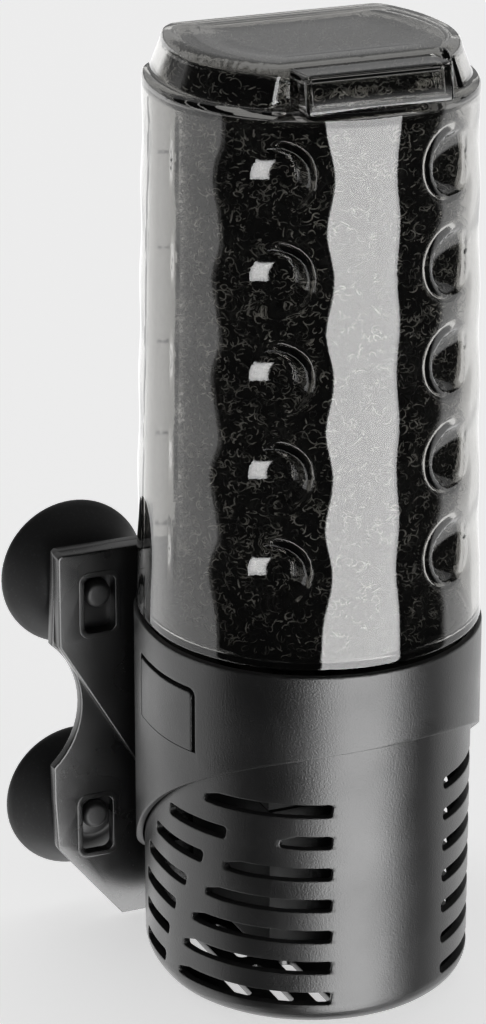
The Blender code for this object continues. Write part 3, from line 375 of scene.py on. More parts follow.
def round_corners(points, radii, steps=5):
    """Outline of a polygon with each corner turned into an arc of its own radius."""
    if isinstance(radii, float):
        radii = [radii] * len(points)
    rounded = []
    for index, corner in enumerate(points):
        corner = Vector(corner)
        before = (Vector(points[index - 1]) - corner).normalized()
        after = (Vector(points[(index + 1) % len(points)]) - corner).normalized()
        half = before.angle(after) / 2
        radius = radii[index]
        if radius <= 0.0 or half > math.radians(88.0):
            rounded.append(tuple(corner))
            continue
        centre = corner + (before + after).normalized() * (radius / math.sin(half))
        start = corner + before * (radius / math.tan(half)) - centre
        end = corner + after * (radius / math.tan(half)) - centre
        sweep = start.angle_signed(end)
        for step in range(steps + 1):
            turned = start.copy()
            turned.rotate(Matrix.Rotation(-sweep * step / steps, 2))
            rounded.append(tuple(centre + turned))
    return rounded


def linked(name, data):
    """New object of a mesh, curve or camera, in the scene."""
    made = bpy.data.objects.new(name, data)
    bpy.context.scene.collection.objects.link(made)
    return made


def evaluated_bmesh(holder, scraps=()):
    """The shape of an object after its modifiers, as a bmesh; the object and its scraps are removed."""
    depsgraph = bpy.context.evaluated_depsgraph_get()
    mesh = bpy.data.meshes.new_from_object(holder.evaluated_get(depsgraph))
    for scrap in (*scraps, holder):
        bpy.data.objects.remove(scrap)
    bm = bmesh.new()
    bm.from_mesh(mesh)
    bpy.data.meshes.remove(mesh)
    return bm


def mesh_object(name, bm, material, angle=40.0, weighted=True):
    """Object from a bmesh: smooth, with sharp edges kept and faces' normals weighted by area."""
    mesh = bpy.data.meshes.new(name)
    bm.to_mesh(mesh)
    bm.free()
    mesh.materials.append(material)
    mesh.shade_smooth()
    mesh.set_sharp_from_angle(angle=math.radians(angle))
    piece = linked(name, mesh)
    if weighted:
        modifier = piece.modifiers.new("Normals", "WEIGHTED_NORMAL")
        modifier.keep_sharp = True
    return piece


def sheet(outer, holes, thickness, bevel, flats=()):
    """Plate in the XY plane with holes and rounded edges.

    flats are (y, from x, to x): straight edges at that y which are squared off again.
    """
    curve = bpy.data.curves.new("sheet", "CURVE")
    curve.dimensions = "2D"
    curve.fill_mode = "BOTH"
    curve.extrude = thickness / 2 - bevel
    curve.bevel_depth = bevel
    curve.bevel_resolution = 1
    curve.offset = -bevel
    for points in [outer, *holes]:
        spline = curve.splines.new("POLY")
        spline.points.add(len(points) - 1)
        for spline_point, (x, y) in zip(spline.points, points):
            spline_point.co = (x, y, 0.0, 1.0)
        spline.use_cyclic_u = True
    bm = evaluated_bmesh(linked("sheet", curve))
    bmesh.ops.remove_doubles(bm, verts=bm.verts, dist=MERGE_DISTANCE)
    for y, low, high in flats:
        for vert in bm.verts:
            if abs(vert.co.y - y) < bevel * 1.05 and low < vert.co.x < high:
                vert.co.y = y
    return bm


def slice_across(bm, values, direction):
    """Cuts a mesh along planes at the given values of one direction, so that it can bend there."""
    for value in values:
        geometry = bm.verts[:] + bm.edges[:] + bm.faces[:]
        bmesh.ops.bisect_plane(bm, geom=geometry, dist=1e-7, plane_co=Vector(direction) * value,
                               plane_no=direction)


def steps_between(low, high, pitch):
    count = max(1, round((high - low) / pitch))
    return [low + (high - low) * index / count for index in range(count + 1)]


def clip(bm, point, normal):
    """Cuts away what lies on a plane's normal side, and leaves the mesh open there."""
    geometry = bm.verts[:] + bm.edges[:] + bm.faces[:]
    bmesh.ops.bisect_plane(bm, geom=geometry, dist=1e-7, plane_co=point, plane_no=normal,
                           clear_outer=True)


def rectangle(left, low, right, high):
    return [(left, low), (right, low), (right, high), (left, high)]


def wrap(bm, place):
    """Bends a sheet: place(station, height, depth) gives each vertex its place."""
    for vert in bm.verts:
        vert.co = place(*vert.co)


def add_box(bm, low, high, bevel=0.0):
    size = Vector(high) - Vector(low)
    centre = (Vector(high) + Vector(low)) / 2
    made = bmesh.ops.create_cube(bm, size=1.0, matrix=Matrix.LocRotScale(centre, None, size))
    if bevel > 0.0:
        edges = {edge for vert in made["verts"] for edge in vert.link_edges}
        bmesh.ops.bevel(bm, geom=list(edges), offset=bevel, segments=2, profile=0.5, affect="EDGES")


def add_loft(bm, loops):
    """Joins closed loops of vertices one after the other and closes both ends."""
    count = len(loops[0])
    for low, high in zip(loops, loops[1:]):
        for index in range(count):
            after = (index + 1) % count
            bm.faces.new((low[index], low[after], high[after], high[index]))
    bm.faces.new(reversed(loops[0]))
    bm.faces.new(loops[-1])


def add_turned(bm, profile, origin, axis, segments):
    """Turned solid from a closed (radius, height) profile round an axis through origin."""
    turn = Vector(axis).to_track_quat("Z", "Y")
    rings = []
    for radius, height in profile:
        if radius < 1e-7:
            rings.append([bm.verts.new(Vector(origin) + turn @ Vector((0.0, 0.0, height)))])
            continue
        ring = []
        for step in range(segments):
            angle = 2 * math.pi * step / segments
            spot = Vector((radius * math.cos(angle), radius * math.sin(angle), height))
            ring.append(bm.verts.new(Vector(origin) + turn @ spot))
        rings.append(ring)
    for upper, lower in zip(rings, rings[1:]):
        for step in range(segments):
            after = (step + 1) % segments
            if len(upper) == 1 and len(lower) == 1:
                continue
            if len(upper) == 1:
                bm.faces.new((upper[0], lower[step], lower[after]))
            elif len(lower) == 1:
                bm.faces.new((upper[step], lower[0], upper[after]))
            else:
                bm.faces.new((upper[step], lower[step], lower[after], upper[after]))


def arc(centre, radius, start, end, steps):
    """Points on an arc, angles in degrees."""
    points = []
    for step in range(steps + 1):
        angle = math.radians(start + (end - start) * step / steps)
        points.append((centre[0] + radius * math.cos(angle), centre[1] + radius * math.sin(angle)))
    return points


def round_hole(centre, radius, steps=24):
    """Outline of a round hole, without a second point where it starts."""
    return arc(centre, radius, 0.0, 360.0 - 360.0 / steps, steps - 1)


def finish_piece(piece, body, slot, *replaced):
    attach(piece, body)
    if replaced:
        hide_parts(*replaced)
    return piece


# ---------------------------------------------------------------- collar and latch tabs

WALL_PITCH = 1.5 * MM
SEAM_DISTANCE = 0.003 * MM
OUTLET_HOLE_RADIUS, GLAND_HOLE_RADIUS = 4.6 * MM, 3.7 * MM
CATCH_HEIGHT = 67.5 * MM
CATCH_HALF_SIZE = Vector((5.0, 0.4, 0.7)) * MM
DECK_LOW, DECK_HIGH = 67.7 * MM, 69.5 * MM
DECK_INSET = 3.6 * MM
T_RAIL_LOW, T_RAIL_HIGH = 32.0 * MM, 70.0 * MM
TUBE_HOLE_RADIUS, SCREW_HOLE_RADIUS, SCREW_CIRCLE = 7.8 * MM, 1.6 * MM, 12.5 * MM
# (left, front, right, back) in millimetres of the deck's openings
DECK_WINDOWS = [(-21.0, -19.0, -14.0, 8.0), (14.0, -19.0, 21.0, 8.0), (-28.6, -8.0, -23.8, 8.0),
                (23.8, -8.0, 28.6, 8.0), (-8.0, -29.0, 8.0, -23.5)]


def bend_stations():
    return steps_between(-HALF_ROUND, HALF_ROUND, WALL_PITCH)


def collar_place(station, height, depth):
    """Place of a point of the collar's sheet on the body."""
    spot = wall_place(station, COLLAR_WALL / 2 - depth)
    return Vector((spot.x, spot.y, height))


def close_round(bm):
    """Ends a wrapped sheet exactly at the back's middle, so that its two ends can be merged."""
    clip(bm, (HALF_ROUND, 0.0, 0.0), (1.0, 0.0, 0.0))
    clip(bm, (-HALF_ROUND, 0.0, 0.0), (-1.0, 0.0, 0.0))


def latch_outline(side, gaps=NO_GAPS):
    """Window of a latch tab in the collar, or the tab itself with the gaps round it."""
    front, back = LATCH_STATIONS[0] + gaps["front"], LATCH_STATIONS[1] - gaps["back"]
    low, high = LATCH_HEIGHTS[0] + gaps["bottom"], LATCH_HEIGHTS[1] - gaps["top"]
    radii = [0.0, 0.0, 0.7 * MM, LATCH_CORNER - gaps["front"] * 0.8]
    points = round_corners(rectangle(front, low, back, high), radii)
    return [(side * x, y) for x, y in points]


def build_collar():
    bevel = 0.35 * MM
    margin = 3.0 * MM
    stations = steps_between(-HALF_ROUND - margin, HALF_ROUND + margin, 2.0 * MM)
    outer = [(station, parting_at(station)) for station in stations]
    outer += [(station, RIM_HEIGHT) for station in reversed(stations)]
    outlet = hole_round_nozzle()
    holes = [latch_outline(-1), latch_outline(1), outlet, gland_hole()]
    flats = []
    for side in (-1, 1):
        low, high = sorted(side * value for value in LATCH_STATIONS)
        flats.append((LATCH_HEIGHTS[0], low - 0.4 * MM, high + 0.4 * MM))
    bm = sheet(outer, holes, COLLAR_WALL, bevel, flats)
    close_round(bm)
    slice_across(bm, bend_stations()[1:-1], (1.0, 0.0, 0.0))
    wrap(bm, collar_place)
    bmesh.ops.remove_doubles(bm, verts=bm.verts, dist=SEAM_DISTANCE)
    wall = mesh_object("collar_wall", bm, SATIN_BLACK)
    finish_piece(wall, "housing", "black_plastic", "collar")
    build_deck()
    build_rail()
    for side in (-1, 1):
        build_latch(side)


def hole_round_nozzle():
    """Hole for the outlet's spigot through the collar, round the nozzle's axis."""
    low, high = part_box("nozzle_seal")
    centre = (low + high) / 2
    direction = Vector((math.sin(OUTLET_BEARING), -math.cos(OUTLET_BEARING)))
    offset = centre.xy - SIDE_CENTRE
    along = offset.dot(direction)
    travel = math.sqrt(along * along - offset.length_squared + SIDE_RADIUS * SIDE_RADIUS) - along
    exit_point = centre.xy + direction * travel
    turn = math.asin((exit_point.y - SIDE_CENTRE.y) / SIDE_RADIUS)
    return round_hole((SIDE_START + SIDE_RADIUS * turn, centre.z), OUTLET_HOLE_RADIUS)


def gland_hole():
    """Hole for the cable gland through the collar's right side."""
    low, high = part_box("cable_gland")
    return round_hole((GLAND_STATION, (low.z + high.z) / 2), GLAND_HOLE_RADIUS)


def build_latch(side):
    """Latch tab in the collar's window, with the catch on its inner face."""
    bevel = 0.25 * MM
    word = "left" if side < 0 else "right"
    outer = latch_outline(side, LATCH_GAPS)
    low_edge = LATCH_HEIGHTS[0] + LATCH_GAPS["bottom"]
    first, last = sorted(side * value for value in LATCH_STATIONS)
    bm = sheet(outer, [], COLLAR_WALL, bevel, [(low_edge, first, last)])
    slice_across(bm, steps_between(first, last, WALL_PITCH), (1.0, 0.0, 0.0))
    slice_across(bm, steps_between(*LATCH_HEIGHTS, 1.5 * MM), (0.0, 1.0, 0.0))
    wrap(bm, collar_place)
    spot, normal = wall_frame((first + last) / 2)
    centre = Vector((*(spot - normal * (COLLAR_WALL + 0.3 * MM)), CATCH_HEIGHT))
    turn = Vector((normal.x, normal.y, 0.0)).to_track_quat("Y", "Z")
    before = set(bm.verts)
    add_box(bm, -CATCH_HALF_SIZE, CATCH_HALF_SIZE, 0.2 * MM)
    bmesh.ops.transform(bm, matrix=Matrix.LocRotScale(centre, turn, None),
                        verts=[vert for vert in bm.verts if vert not in before])
    tab = mesh_object(f"latch_tab_{word}", bm, SATIN_BLACK)
    finish_piece(tab, f"latch_{word}", "black_plastic", f"latch_{word}")


def outline_points(inset):
    stations = steps_between(-HALF_ROUND, HALF_ROUND, 2.0 * MM)[:-1]
    return [tuple(wall_place(station, inset)) for station in stations]


def build_deck():
    """Inner deck that carries the pump, with its openings and the ribs that hold it."""
    tube_low, tube_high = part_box("core_tube")
    pump_y = tube_low.y / 2 + tube_high.y / 2
    holes = [round_hole((0.0, pump_y), TUBE_HOLE_RADIUS, 36)]
    for degrees in (90.0, 210.0, 330.0):
        angle = math.radians(degrees)
        centre = (SCREW_CIRCLE * math.cos(angle), pump_y + SCREW_CIRCLE * math.sin(angle))
        holes.append(round_hole(centre, SCREW_HOLE_RADIUS, 18))
    for window in DECK_WINDOWS:
        holes.append(round_corners(rectangle(*(edge * MM for edge in window)), 1.0 * MM))
    bm = sheet(outline_points(DECK_INSET), holes, DECK_HIGH - DECK_LOW, 0.2 * MM)
    bmesh.ops.translate(bm, verts=bm.verts, vec=(0.0, 0.0, (DECK_LOW + DECK_HIGH) / 2))
    sunk = 0.2 * MM
    inner_face = BODY_FRONT + COLLAR_WALL - sunk
    add_box(bm, (-4.0 * MM, inner_face, DECK_LOW), (4.0 * MM, inner_face + 6.0 * MM, DECK_HIGH))
    for x in (-14.0 * MM, 14.0 * MM):
        add_box(bm, (x - 3.0 * MM, BACK_FLAT - 6.0 * MM, DECK_LOW),
                (x + 3.0 * MM, BACK_FLAT - COLLAR_WALL + sunk, DECK_HIGH))
    deck = mesh_object("collar_deck", bm, SATIN_BLACK, weighted=False)
    finish_piece(deck, "housing", "black_plastic")


def build_rail():
    """T-rail on the collar's back, on which the bracket slides."""
    web, head = 4.2 * MM, 7.5 * MM
    start, step, back = BACK_FLAT - 0.7 * MM, 28.4 * MM, 30.2 * MM
    points = [(-web, start), (web, start), (web, step), (head, step), (head, back),
              (-head, back), (-head, step), (-web, step)]
    bm = sheet(points, [], T_RAIL_HIGH - T_RAIL_LOW, 0.25 * MM)
    bmesh.ops.translate(bm, verts=bm.verts, vec=(0.0, 0.0, (T_RAIL_LOW + T_RAIL_HIGH) / 2))
    rail = mesh_object("collar_rail", bm, SATIN_BLACK, weighted=False)
    finish_piece(rail, "housing", "black_plastic")


# ---------------------------------------------------------------- strainer

SLOT_PITCH = 6.85 * MM
LOWEST_SLOT = 6.9 * MM
SLOT_HEIGHT = 2.7 * MM
SHORT_SLOT = 9.0 * MM
SLOT_NECK = 3.5 * MM
# Slots of the strainer's floor: distance between them, half width and the circle that they end in
FLOOR_SLOT_PITCH, FLOOR_SLOT_HALF, FLOOR_SLOT_CIRCLE = 6.8 * MM, 1.5 * MM, 26.5 * MM


def slot_outline(row, first, last, slant, taper=1.0):
    """One slot as (station, height): its left end narrows by taper, and slant leans the ends."""
    middle = LOWEST_SLOT + SLOT_PITCH * row
    half = SLOT_HEIGHT / 2
    narrow = half * taper
    corners = [(first + slant, middle - half + (half - narrow) * 0.4), (first + SLOT_NECK, middle - half),
               (last + slant, middle - half), (last, middle + half), (first + SLOT_NECK, middle + half),
               (first, middle + half - (half - narrow) * 1.6)]
    if abs(last - first) < SHORT_SLOT:
        corners = [(first + slant, middle - half), (last + slant, middle - half), (last, middle + half),
                   (first, middle + half)]
        return round_corners(corners, min(1.1 * MM, narrow * 0.95), 4)
    radii = [narrow * 0.8, 0.0, 0.8 * MM, 0.8 * MM, 0.0, narrow * 0.8]
    return round_corners(corners, radii, 4)


def slot_outlines():
    """Outlines of the wall's slots, row by row from the lowest, whose ends follow the collar's arch."""
    for row in range(7):
        band = (-53.2 + 1.35 * row + 0.54 * row * row) * MM
        far_end = max(-66.0, -70.8 + 0.8 * row * row) * MM
        if row < 6:
            yield slot_outline(row, far_end, band, slant=-0.7 * MM)
        if row < 5:
            yield slot_outline(row, 52.0 * MM, -far_end, slant=0.5 * MM)
        middle_left = {5: -21.0 * MM, 6: -38.7 * MM}.get(row, band + 5.8 * MM)
        yield slot_outline(row, middle_left, -9.9 * MM, slant=-0.3 * MM, taper=0.55)
        right_end = 46.3 * MM if row < 6 else 40.0 * MM
        yield slot_outline(row, 17.9 * MM, right_end, slant=0.4 * MM, taper=0.9)


def build_strainer():
    """Slotted wall, bent round the outline and under into the floor, and the slotted floor plate."""
    bevel = 0.22 * MM
    margin = 3.0 * MM
    arc_length = STRAINER_ROUNDING * math.pi / 2
    rise = arc_length - STRAINER_ROUNDING
    stations = steps_between(-HALF_ROUND - margin, HALF_ROUND + margin, 2.5 * MM)
    outer = [(station, 0.0) for station in stations]
    outer += [(station, parting_at(station) + STRAINER_OVERLAP + rise) for station in reversed(stations)]
    holes = [[(x, y + rise) for x, y in outline] for outline in slot_outlines()]
    bm = sheet(outer, holes, STRAINER_WALL, bevel, [(0.0, -1.0, 1.0)])
    close_round(bm)
    slice_across(bm, bend_stations()[1:-1], (1.0, 0.0, 0.0))
    slice_across(bm, steps_between(0.0, arc_length, arc_length / 10)[1:], (0.0, 1.0, 0.0))

    def place(station, height, depth):
        inward = STRAINER_WALL / 2 - depth
        if height >= arc_length:
            spot = wall_place(station, STRAINER_INSET + inward)
            return Vector((spot.x, spot.y, height - rise))
        angle = height / STRAINER_ROUNDING
        radius = STRAINER_ROUNDING - inward
        spot = wall_place(station, STRAINER_INSET + STRAINER_ROUNDING - radius * math.sin(angle))
        return Vector((spot.x, spot.y, STRAINER_ROUNDING - radius * math.cos(angle)))

    wrap(bm, place)
    bmesh.ops.remove_doubles(bm, verts=bm.verts, dist=SEAM_DISTANCE)
    wall = mesh_object("strainer_wall", bm, SATIN_BLACK)
    finish_piece(wall, "strainer", "black_plastic", "strainer")

    floor_inset = STRAINER_INSET + STRAINER_ROUNDING - 0.3 * MM
    slots = []
    for column in (-3, -2, -1, 1, 2, 3):
        x = column * FLOOR_SLOT_PITCH
        reach = math.sqrt(FLOOR_SLOT_CIRCLE ** 2 - x * x) - 2.0 * MM
        for front, back in ((-reach, -3.0 * MM), (1.0 * MM, 17.0 * MM)):
            corners = rectangle(x - FLOOR_SLOT_HALF, front, x + FLOOR_SLOT_HALF, back)
            slots.append(round_corners(corners, 1.2 * MM, 4))
    bm = sheet(outline_points(floor_inset), slots, STRAINER_WALL, bevel)
    bmesh.ops.translate(bm, verts=bm.verts, vec=(0.0, 0.0, STRAINER_WALL / 2))
    floor = mesh_object("strainer_floor", bm, SATIN_BLACK, weighted=False)
    finish_piece(floor, "strainer", "black_plastic")


# ---------------------------------------------------------------- container

POCKET_HALF_WIDTH = 6.9 * MM
POCKET_HALF_HEIGHT = 5.5 * MM
POCKET_DEPTH = 2.3 * MM
POCKET_STEEPNESS = 3.4
POCKET_SQUARENESS = 2.4
POCKET_BLEND = 0.5 * MM
POCKET_RANGE = (20.0 * MM, 16.0 * MM, 16.0 * MM)
FLOOR_RADIUS_ACROSS, FLOOR_RADIUS_UPRIGHT = 75.0 * MM, 10.0 * MM
SKIRT_DEPTH = 1.5 * MM
SKIRT_SHIFT = 11.0 * MM
SKIRT_SPREAD_ACROSS, SKIRT_SPREAD_UPRIGHT = 8.5 * MM, 4.8 * MM
GRIP_HALF_WIDTH = 15.2 * MM
GRIP_LOW, GRIP_HIGH = 188.0 * MM, 195.5 * MM
GRIP_FRONT_LOW, GRIP_FRONT_HIGH = -31.0 * MM, -29.9 * MM


def smooth_least(first, second, softness):
    """The smaller of two values, blended where they are close."""
    return (first + second - math.hypot(first - second, softness)) / 2


def pockets():
    """(row height, centre on the wall, outward direction) of each pocket pressed into the container."""
    made = []
    for middle in POCKET_HEIGHTS:
        for station, degrees in POCKET_COLUMNS:
            angle = math.radians(degrees)
            outward = Vector((math.sin(angle), -math.cos(angle)))
            made.append((middle, wall_place(station, container_inset(middle)), outward))
    return made


def press_pockets(spot, height, wall, places):
    """Moves a point of the wall into the pockets: a dished floor, a steep flank and a soft skirt."""
    moved = spot.copy()
    most_across, most_above, most_behind = POCKET_RANGE
    for middle, centre, outward in places:
        above = height - middle
        if abs(above) > most_above:
            continue
        offset = spot - centre
        across = offset.x * outward.y - offset.y * outward.x
        out = offset.dot(outward)
        if abs(across) > most_across or out < -most_behind:
            continue
        dish = across ** 2 / (2 * FLOOR_RADIUS_ACROSS) + above ** 2 / (2 * FLOOR_RADIUS_UPRIGHT)
        floor = out + POCKET_DEPTH + wall - dish
        reach = (abs(across / (POCKET_HALF_WIDTH + wall)) ** POCKET_SQUARENESS
                 + abs(above / (POCKET_HALF_HEIGHT + wall)) ** POCKET_SQUARENESS) ** (1 / POCKET_SQUARENESS)
        flank = POCKET_STEEPNESS * POCKET_HALF_HEIGHT * (1.0 - reach)
        depth = smooth_least(floor, flank, POCKET_BLEND)
        depth = -smooth_least(-depth, 0.0, POCKET_BLEND)
        aside = (across + SKIRT_SHIFT * outward.x) / SKIRT_SPREAD_ACROSS
        skirt = SKIRT_DEPTH * math.exp(-0.5 * aside ** 2 - 0.5 * (above / SKIRT_SPREAD_UPRIGHT) ** 2)
        moved -= outward * (depth + skirt)
    return moved


def container_inset(height):
    share = (height - CONTAINER_FOOT) / (SHOULDER_HEIGHT - CONTAINER_FOOT)
    return FOOT_INSET + (SHOULDER_INSET - FOOT_INSET) * min(1.0, max(0.0, share))


def quarter_turn(steps):
    """(sine, cosine) of equal steps from 0 to 90 degrees."""
    angles = [math.pi / 2 * step / steps for step in range(steps + 1)]
    return [(math.sin(angle), math.cos(angle)) for angle in angles]


def container_rings(wall):
    """(inset, height, front limit, shrink, pressed) of the rings of one skin, from the foot up."""
    foot = CONTAINER_FOOT
    low = CONTAINER_LOW.z - (1.0 * MM if wall else 0.0)
    rings = [(SKIRT_INSET + wall, low, NO_LIMIT, 1.0, False)]
    if wall == 0.0:
        rings += [(SKIRT_INSET, foot - 0.3 * MM, NO_LIMIT, 1.0, False),
                  (SKIRT_INSET - 0.3 * MM, foot, NO_LIMIT, 1.0, False)]
        for sine, cosine in quarter_turn(4):
            rings.append((FOOT_INSET + FOOT_ROUNDING * (1 - sine), foot + FOOT_ROUNDING * (1 - cosine),
                          NO_LIMIT, 1.0, False))
        first = foot + 2 * FOOT_ROUNDING
    else:
        rings += [(SKIRT_INSET + wall, foot + 0.3 * MM, NO_LIMIT, 1.0, False),
                  (FOOT_INSET + wall + 0.4 * MM, foot + 0.9 * MM, NO_LIMIT, 1.0, False)]
        first = foot + 1.6 * MM
    shoulder = SHOULDER_HEIGHT - wall
    for height in steps_between(first, shoulder - SHOULDER_ROUNDING, RING_PITCH):
        rings.append((container_inset(height) + wall, height, NO_LIMIT, 1.0, True))
    for sine, cosine in quarter_turn(7)[1:]:
        rings.append((SHOULDER_INSET + wall + SHOULDER_ROUNDING * (1 - cosine),
                      shoulder - SHOULDER_ROUNDING * (1 - sine), NO_LIMIT, 1.0, False))
    neck = NECK_INSET + wall
    limit = NECK_FRONT - wall
    for sine, cosine in quarter_turn(2):
        rings.append((neck - NECK_FILLET * (1 - sine), shoulder + NECK_FILLET * (1 - cosine) + 0.05 * MM,
                      limit + NECK_FILLET * (1 - sine), 1.0, False))
    top = TOP_HEIGHT - wall
    for sine, cosine in quarter_turn(6):
        back_off = TOP_ROUNDING * (1 - cosine)
        rings.append((neck + NECK_DRAFT + back_off, top - TOP_ROUNDING * (1 - sine),
                      limit - back_off, 1.0, False))
    for share in (0.94, 0.88, 0.80, 0.70, 0.58, 0.44, 0.30, 0.15):
        dish = TOP_DISH * min(1.0, max(0.0, (0.92 - share) / 0.24)) ** 2
        rings.append((neck + NECK_DRAFT + TOP_ROUNDING, top - dish, limit - TOP_ROUNDING, share, False))
    return rings


def container_skin(wall):
    """Closed skin of the container as a bmesh, from its rings."""
    bm = bmesh.new()
    stations = steps_between(-HALF_ROUND, HALF_ROUND, RING_PITCH)[:-1]
    places = pockets()
    loops = []
    for inset, height, limit, shrink, pressed in container_rings(wall):
        loop = []
        for station in stations:
            spot = wall_place(station, inset)
            if pressed:
                spot = press_pockets(spot, height, wall, places)
            loop.append(bm.verts.new((spot.x * shrink, max(spot.y, -limit) * shrink, height)))
        loops.append(loop)
    add_loft(bm, loops)
    return bm


def scrap_object(name, bm):
    """Object that only takes part in a Boolean, and is removed after it."""
    bmesh.ops.recalc_face_normals(bm, faces=bm.faces)
    bmesh.ops.triangulate(bm, faces=bm.faces)
    mesh = bpy.data.meshes.new(name)
    bm.to_mesh(mesh)
    bm.free()
    return linked(name, mesh)


def grip_block(wall):
    """Moulded grip in front of the neck: a block with rounded edges whose face leans back."""
    half = GRIP_HALF_WIDTH - wall
    low, high = GRIP_LOW + wall, GRIP_HIGH - wall
    back = -NECK_FRONT + (3.0 * MM if wall else 2.0 * MM)
    bm = bmesh.new()
    add_box(bm, (-half, GRIP_FRONT_LOW + wall, low), (half, back, high))
    for vert in bm.verts:
        if vert.co.z > (low + high) / 2 and vert.co.y < -NECK_FRONT:
            vert.co.y = GRIP_FRONT_HIGH + wall
    edges = [edge for edge in bm.edges if all(vert.co.y < -NECK_FRONT for vert in edge.verts)
             or abs((edge.verts[0].co - edge.verts[1].co).normalized().y) > 0.9]
    bmesh.ops.bevel(bm, geom=edges, offset=1.0 * MM if wall == 0.0 else 0.4 * MM, segments=4,
                    profile=0.5, affect="EDGES")
    return bm


def build_container():
    """Thin shell: its outer skin and grip, hollowed by the inner skin and the grip's hollow."""
    shell = scrap_object("container_shell", container_skin(0.0))
    steps = [("UNION", grip_block(0.0)), ("DIFFERENCE", container_skin(CONTAINER_WALL)),
             ("DIFFERENCE", grip_block(CONTAINER_WALL))]
    scraps = []
    for index, (operation, bm) in enumerate(steps):
        tool = scrap_object(f"container_tool_{index}", bm)
        modifier = shell.modifiers.new(operation, "BOOLEAN")
        modifier.operation = operation
        modifier.solver = "MANIFOLD"
        modifier.object = tool
        scraps.append(tool)
    container = mesh_object("container_shell", evaluated_bmesh(shell, scraps), CLEAR, angle=50.0)
    finish_piece(container, "cartridge", "smoke_clear_plastic", "container")


# ---------------------------------------------------------------- sponge

SPONGE_LOW, SPONGE_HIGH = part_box("sponge")
SPONGE_STEP = 181.8 * MM
CORE_SINK = 1.1 * MM
GRIP_FOAM_HALF, GRIP_FOAM_FRONT, GRIP_FOAM_MIDDLE = 12.2 * MM, -28.2 * MM, 191.55 * MM
SPONGE_INSET, SPONGE_DRAFT = 7.1 * MM, 1.4 * MM
SPONGE_DRAFT_LOW, SPONGE_DRAFT_HIGH = 82.0 * MM, 183.5 * MM
BULGE_DEPTH, BULGE_STATION, BULGE_WIDTH = 3.2 * MM, 42.0 * MM, 11.0 * MM
SLACK_DEPTH, SLACK_START, SLACK_WIDTH = 1.7 * MM, 18.0 * MM, 14.0 * MM
NECK_FOAM_INSET = 8.3 * MM
NECK_FOAM_BACK = 3.0 * MM
TOP_FOAM_INSET = 8.8 * MM
STRUT_COUNT = 12500


def sponge_inset(station, height):
    """Inset of the sponge's drafted side: close to the wall at the right, loose at the left."""
    share = min(1.0, max(0.0, (height - SPONGE_DRAFT_LOW) / (SPONGE_DRAFT_HIGH - SPONGE_DRAFT_LOW)))
    bulge = BULGE_DEPTH * math.exp(-((station - BULGE_STATION) / BULGE_WIDTH) ** 2)
    if height < SPONGE_DRAFT_LOW:
        bulge = 0.0
    slack = SLACK_DEPTH * min(1.0, max(0.0, (-station - SLACK_START) / SLACK_WIDTH))
    return SPONGE_INSET + SPONGE_DRAFT * share - bulge + slack


def build_sponge_core():
    """Dark body of the foam, sunk behind its skin of struts.

    Rings are (inset, height, front limit, shrink), and an inset of None follows the sponge's side.
    """
    bm = bmesh.new()
    stations = steps_between(-HALF_ROUND, HALF_ROUND, 1.6 * MM)[:-1]
    loops = []
    rings = [(None, height, NO_LIMIT, 1.0)
             for height in steps_between(SPONGE_LOW.z + 0.6 * MM, SPONGE_STEP, 1.6 * MM)]
    limit = NECK_FRONT - 3.4 * MM
    rings += [(9.0 * MM, 184.0 * MM, limit, 1.0), (8.0 * MM, 187.5 * MM, limit, 1.0),
              (8.7 * MM, SPONGE_HIGH.z - 1.4 * MM, limit, 1.0)]
    rings += [(TOP_FOAM_INSET, SPONGE_HIGH.z - 1.0 * MM, limit, share) for share in (0.9, 0.7, 0.5, 0.3, 0.1)]
    for inset, height, front, shrink in rings:
        loop = []
        for station in stations:
            sunk = sponge_inset(station, height) + CORE_SINK if inset is None else inset
            spot = wall_place(station, sunk)
            spot = Vector((spot.x * shrink, max(spot.y, -front) * shrink))
            bumps = noise.noise(Vector((spot.x, spot.y, height)) * 420.0) * 0.8 * MM
            normal = wall_frame(station)[1]
            loop.append(bm.verts.new((spot.x + normal.x * bumps, spot.y + normal.y * bumps, height)))
        loops.append(loop)
    add_loft(bm, loops)
    add_box(bm, (-GRIP_FOAM_HALF, GRIP_FOAM_FRONT + 0.5 * MM, GRIP_FOAM_MIDDLE - 1.1 * MM),
            (GRIP_FOAM_HALF, -limit + 1.0 * MM, GRIP_FOAM_MIDDLE + 1.1 * MM), 0.5 * MM)
    core = mesh_object("sponge_core", bm, FOAM_CORE, angle=180.0, weighted=False)
    finish_piece(core, "cartridge", "black_foam", "sponge")


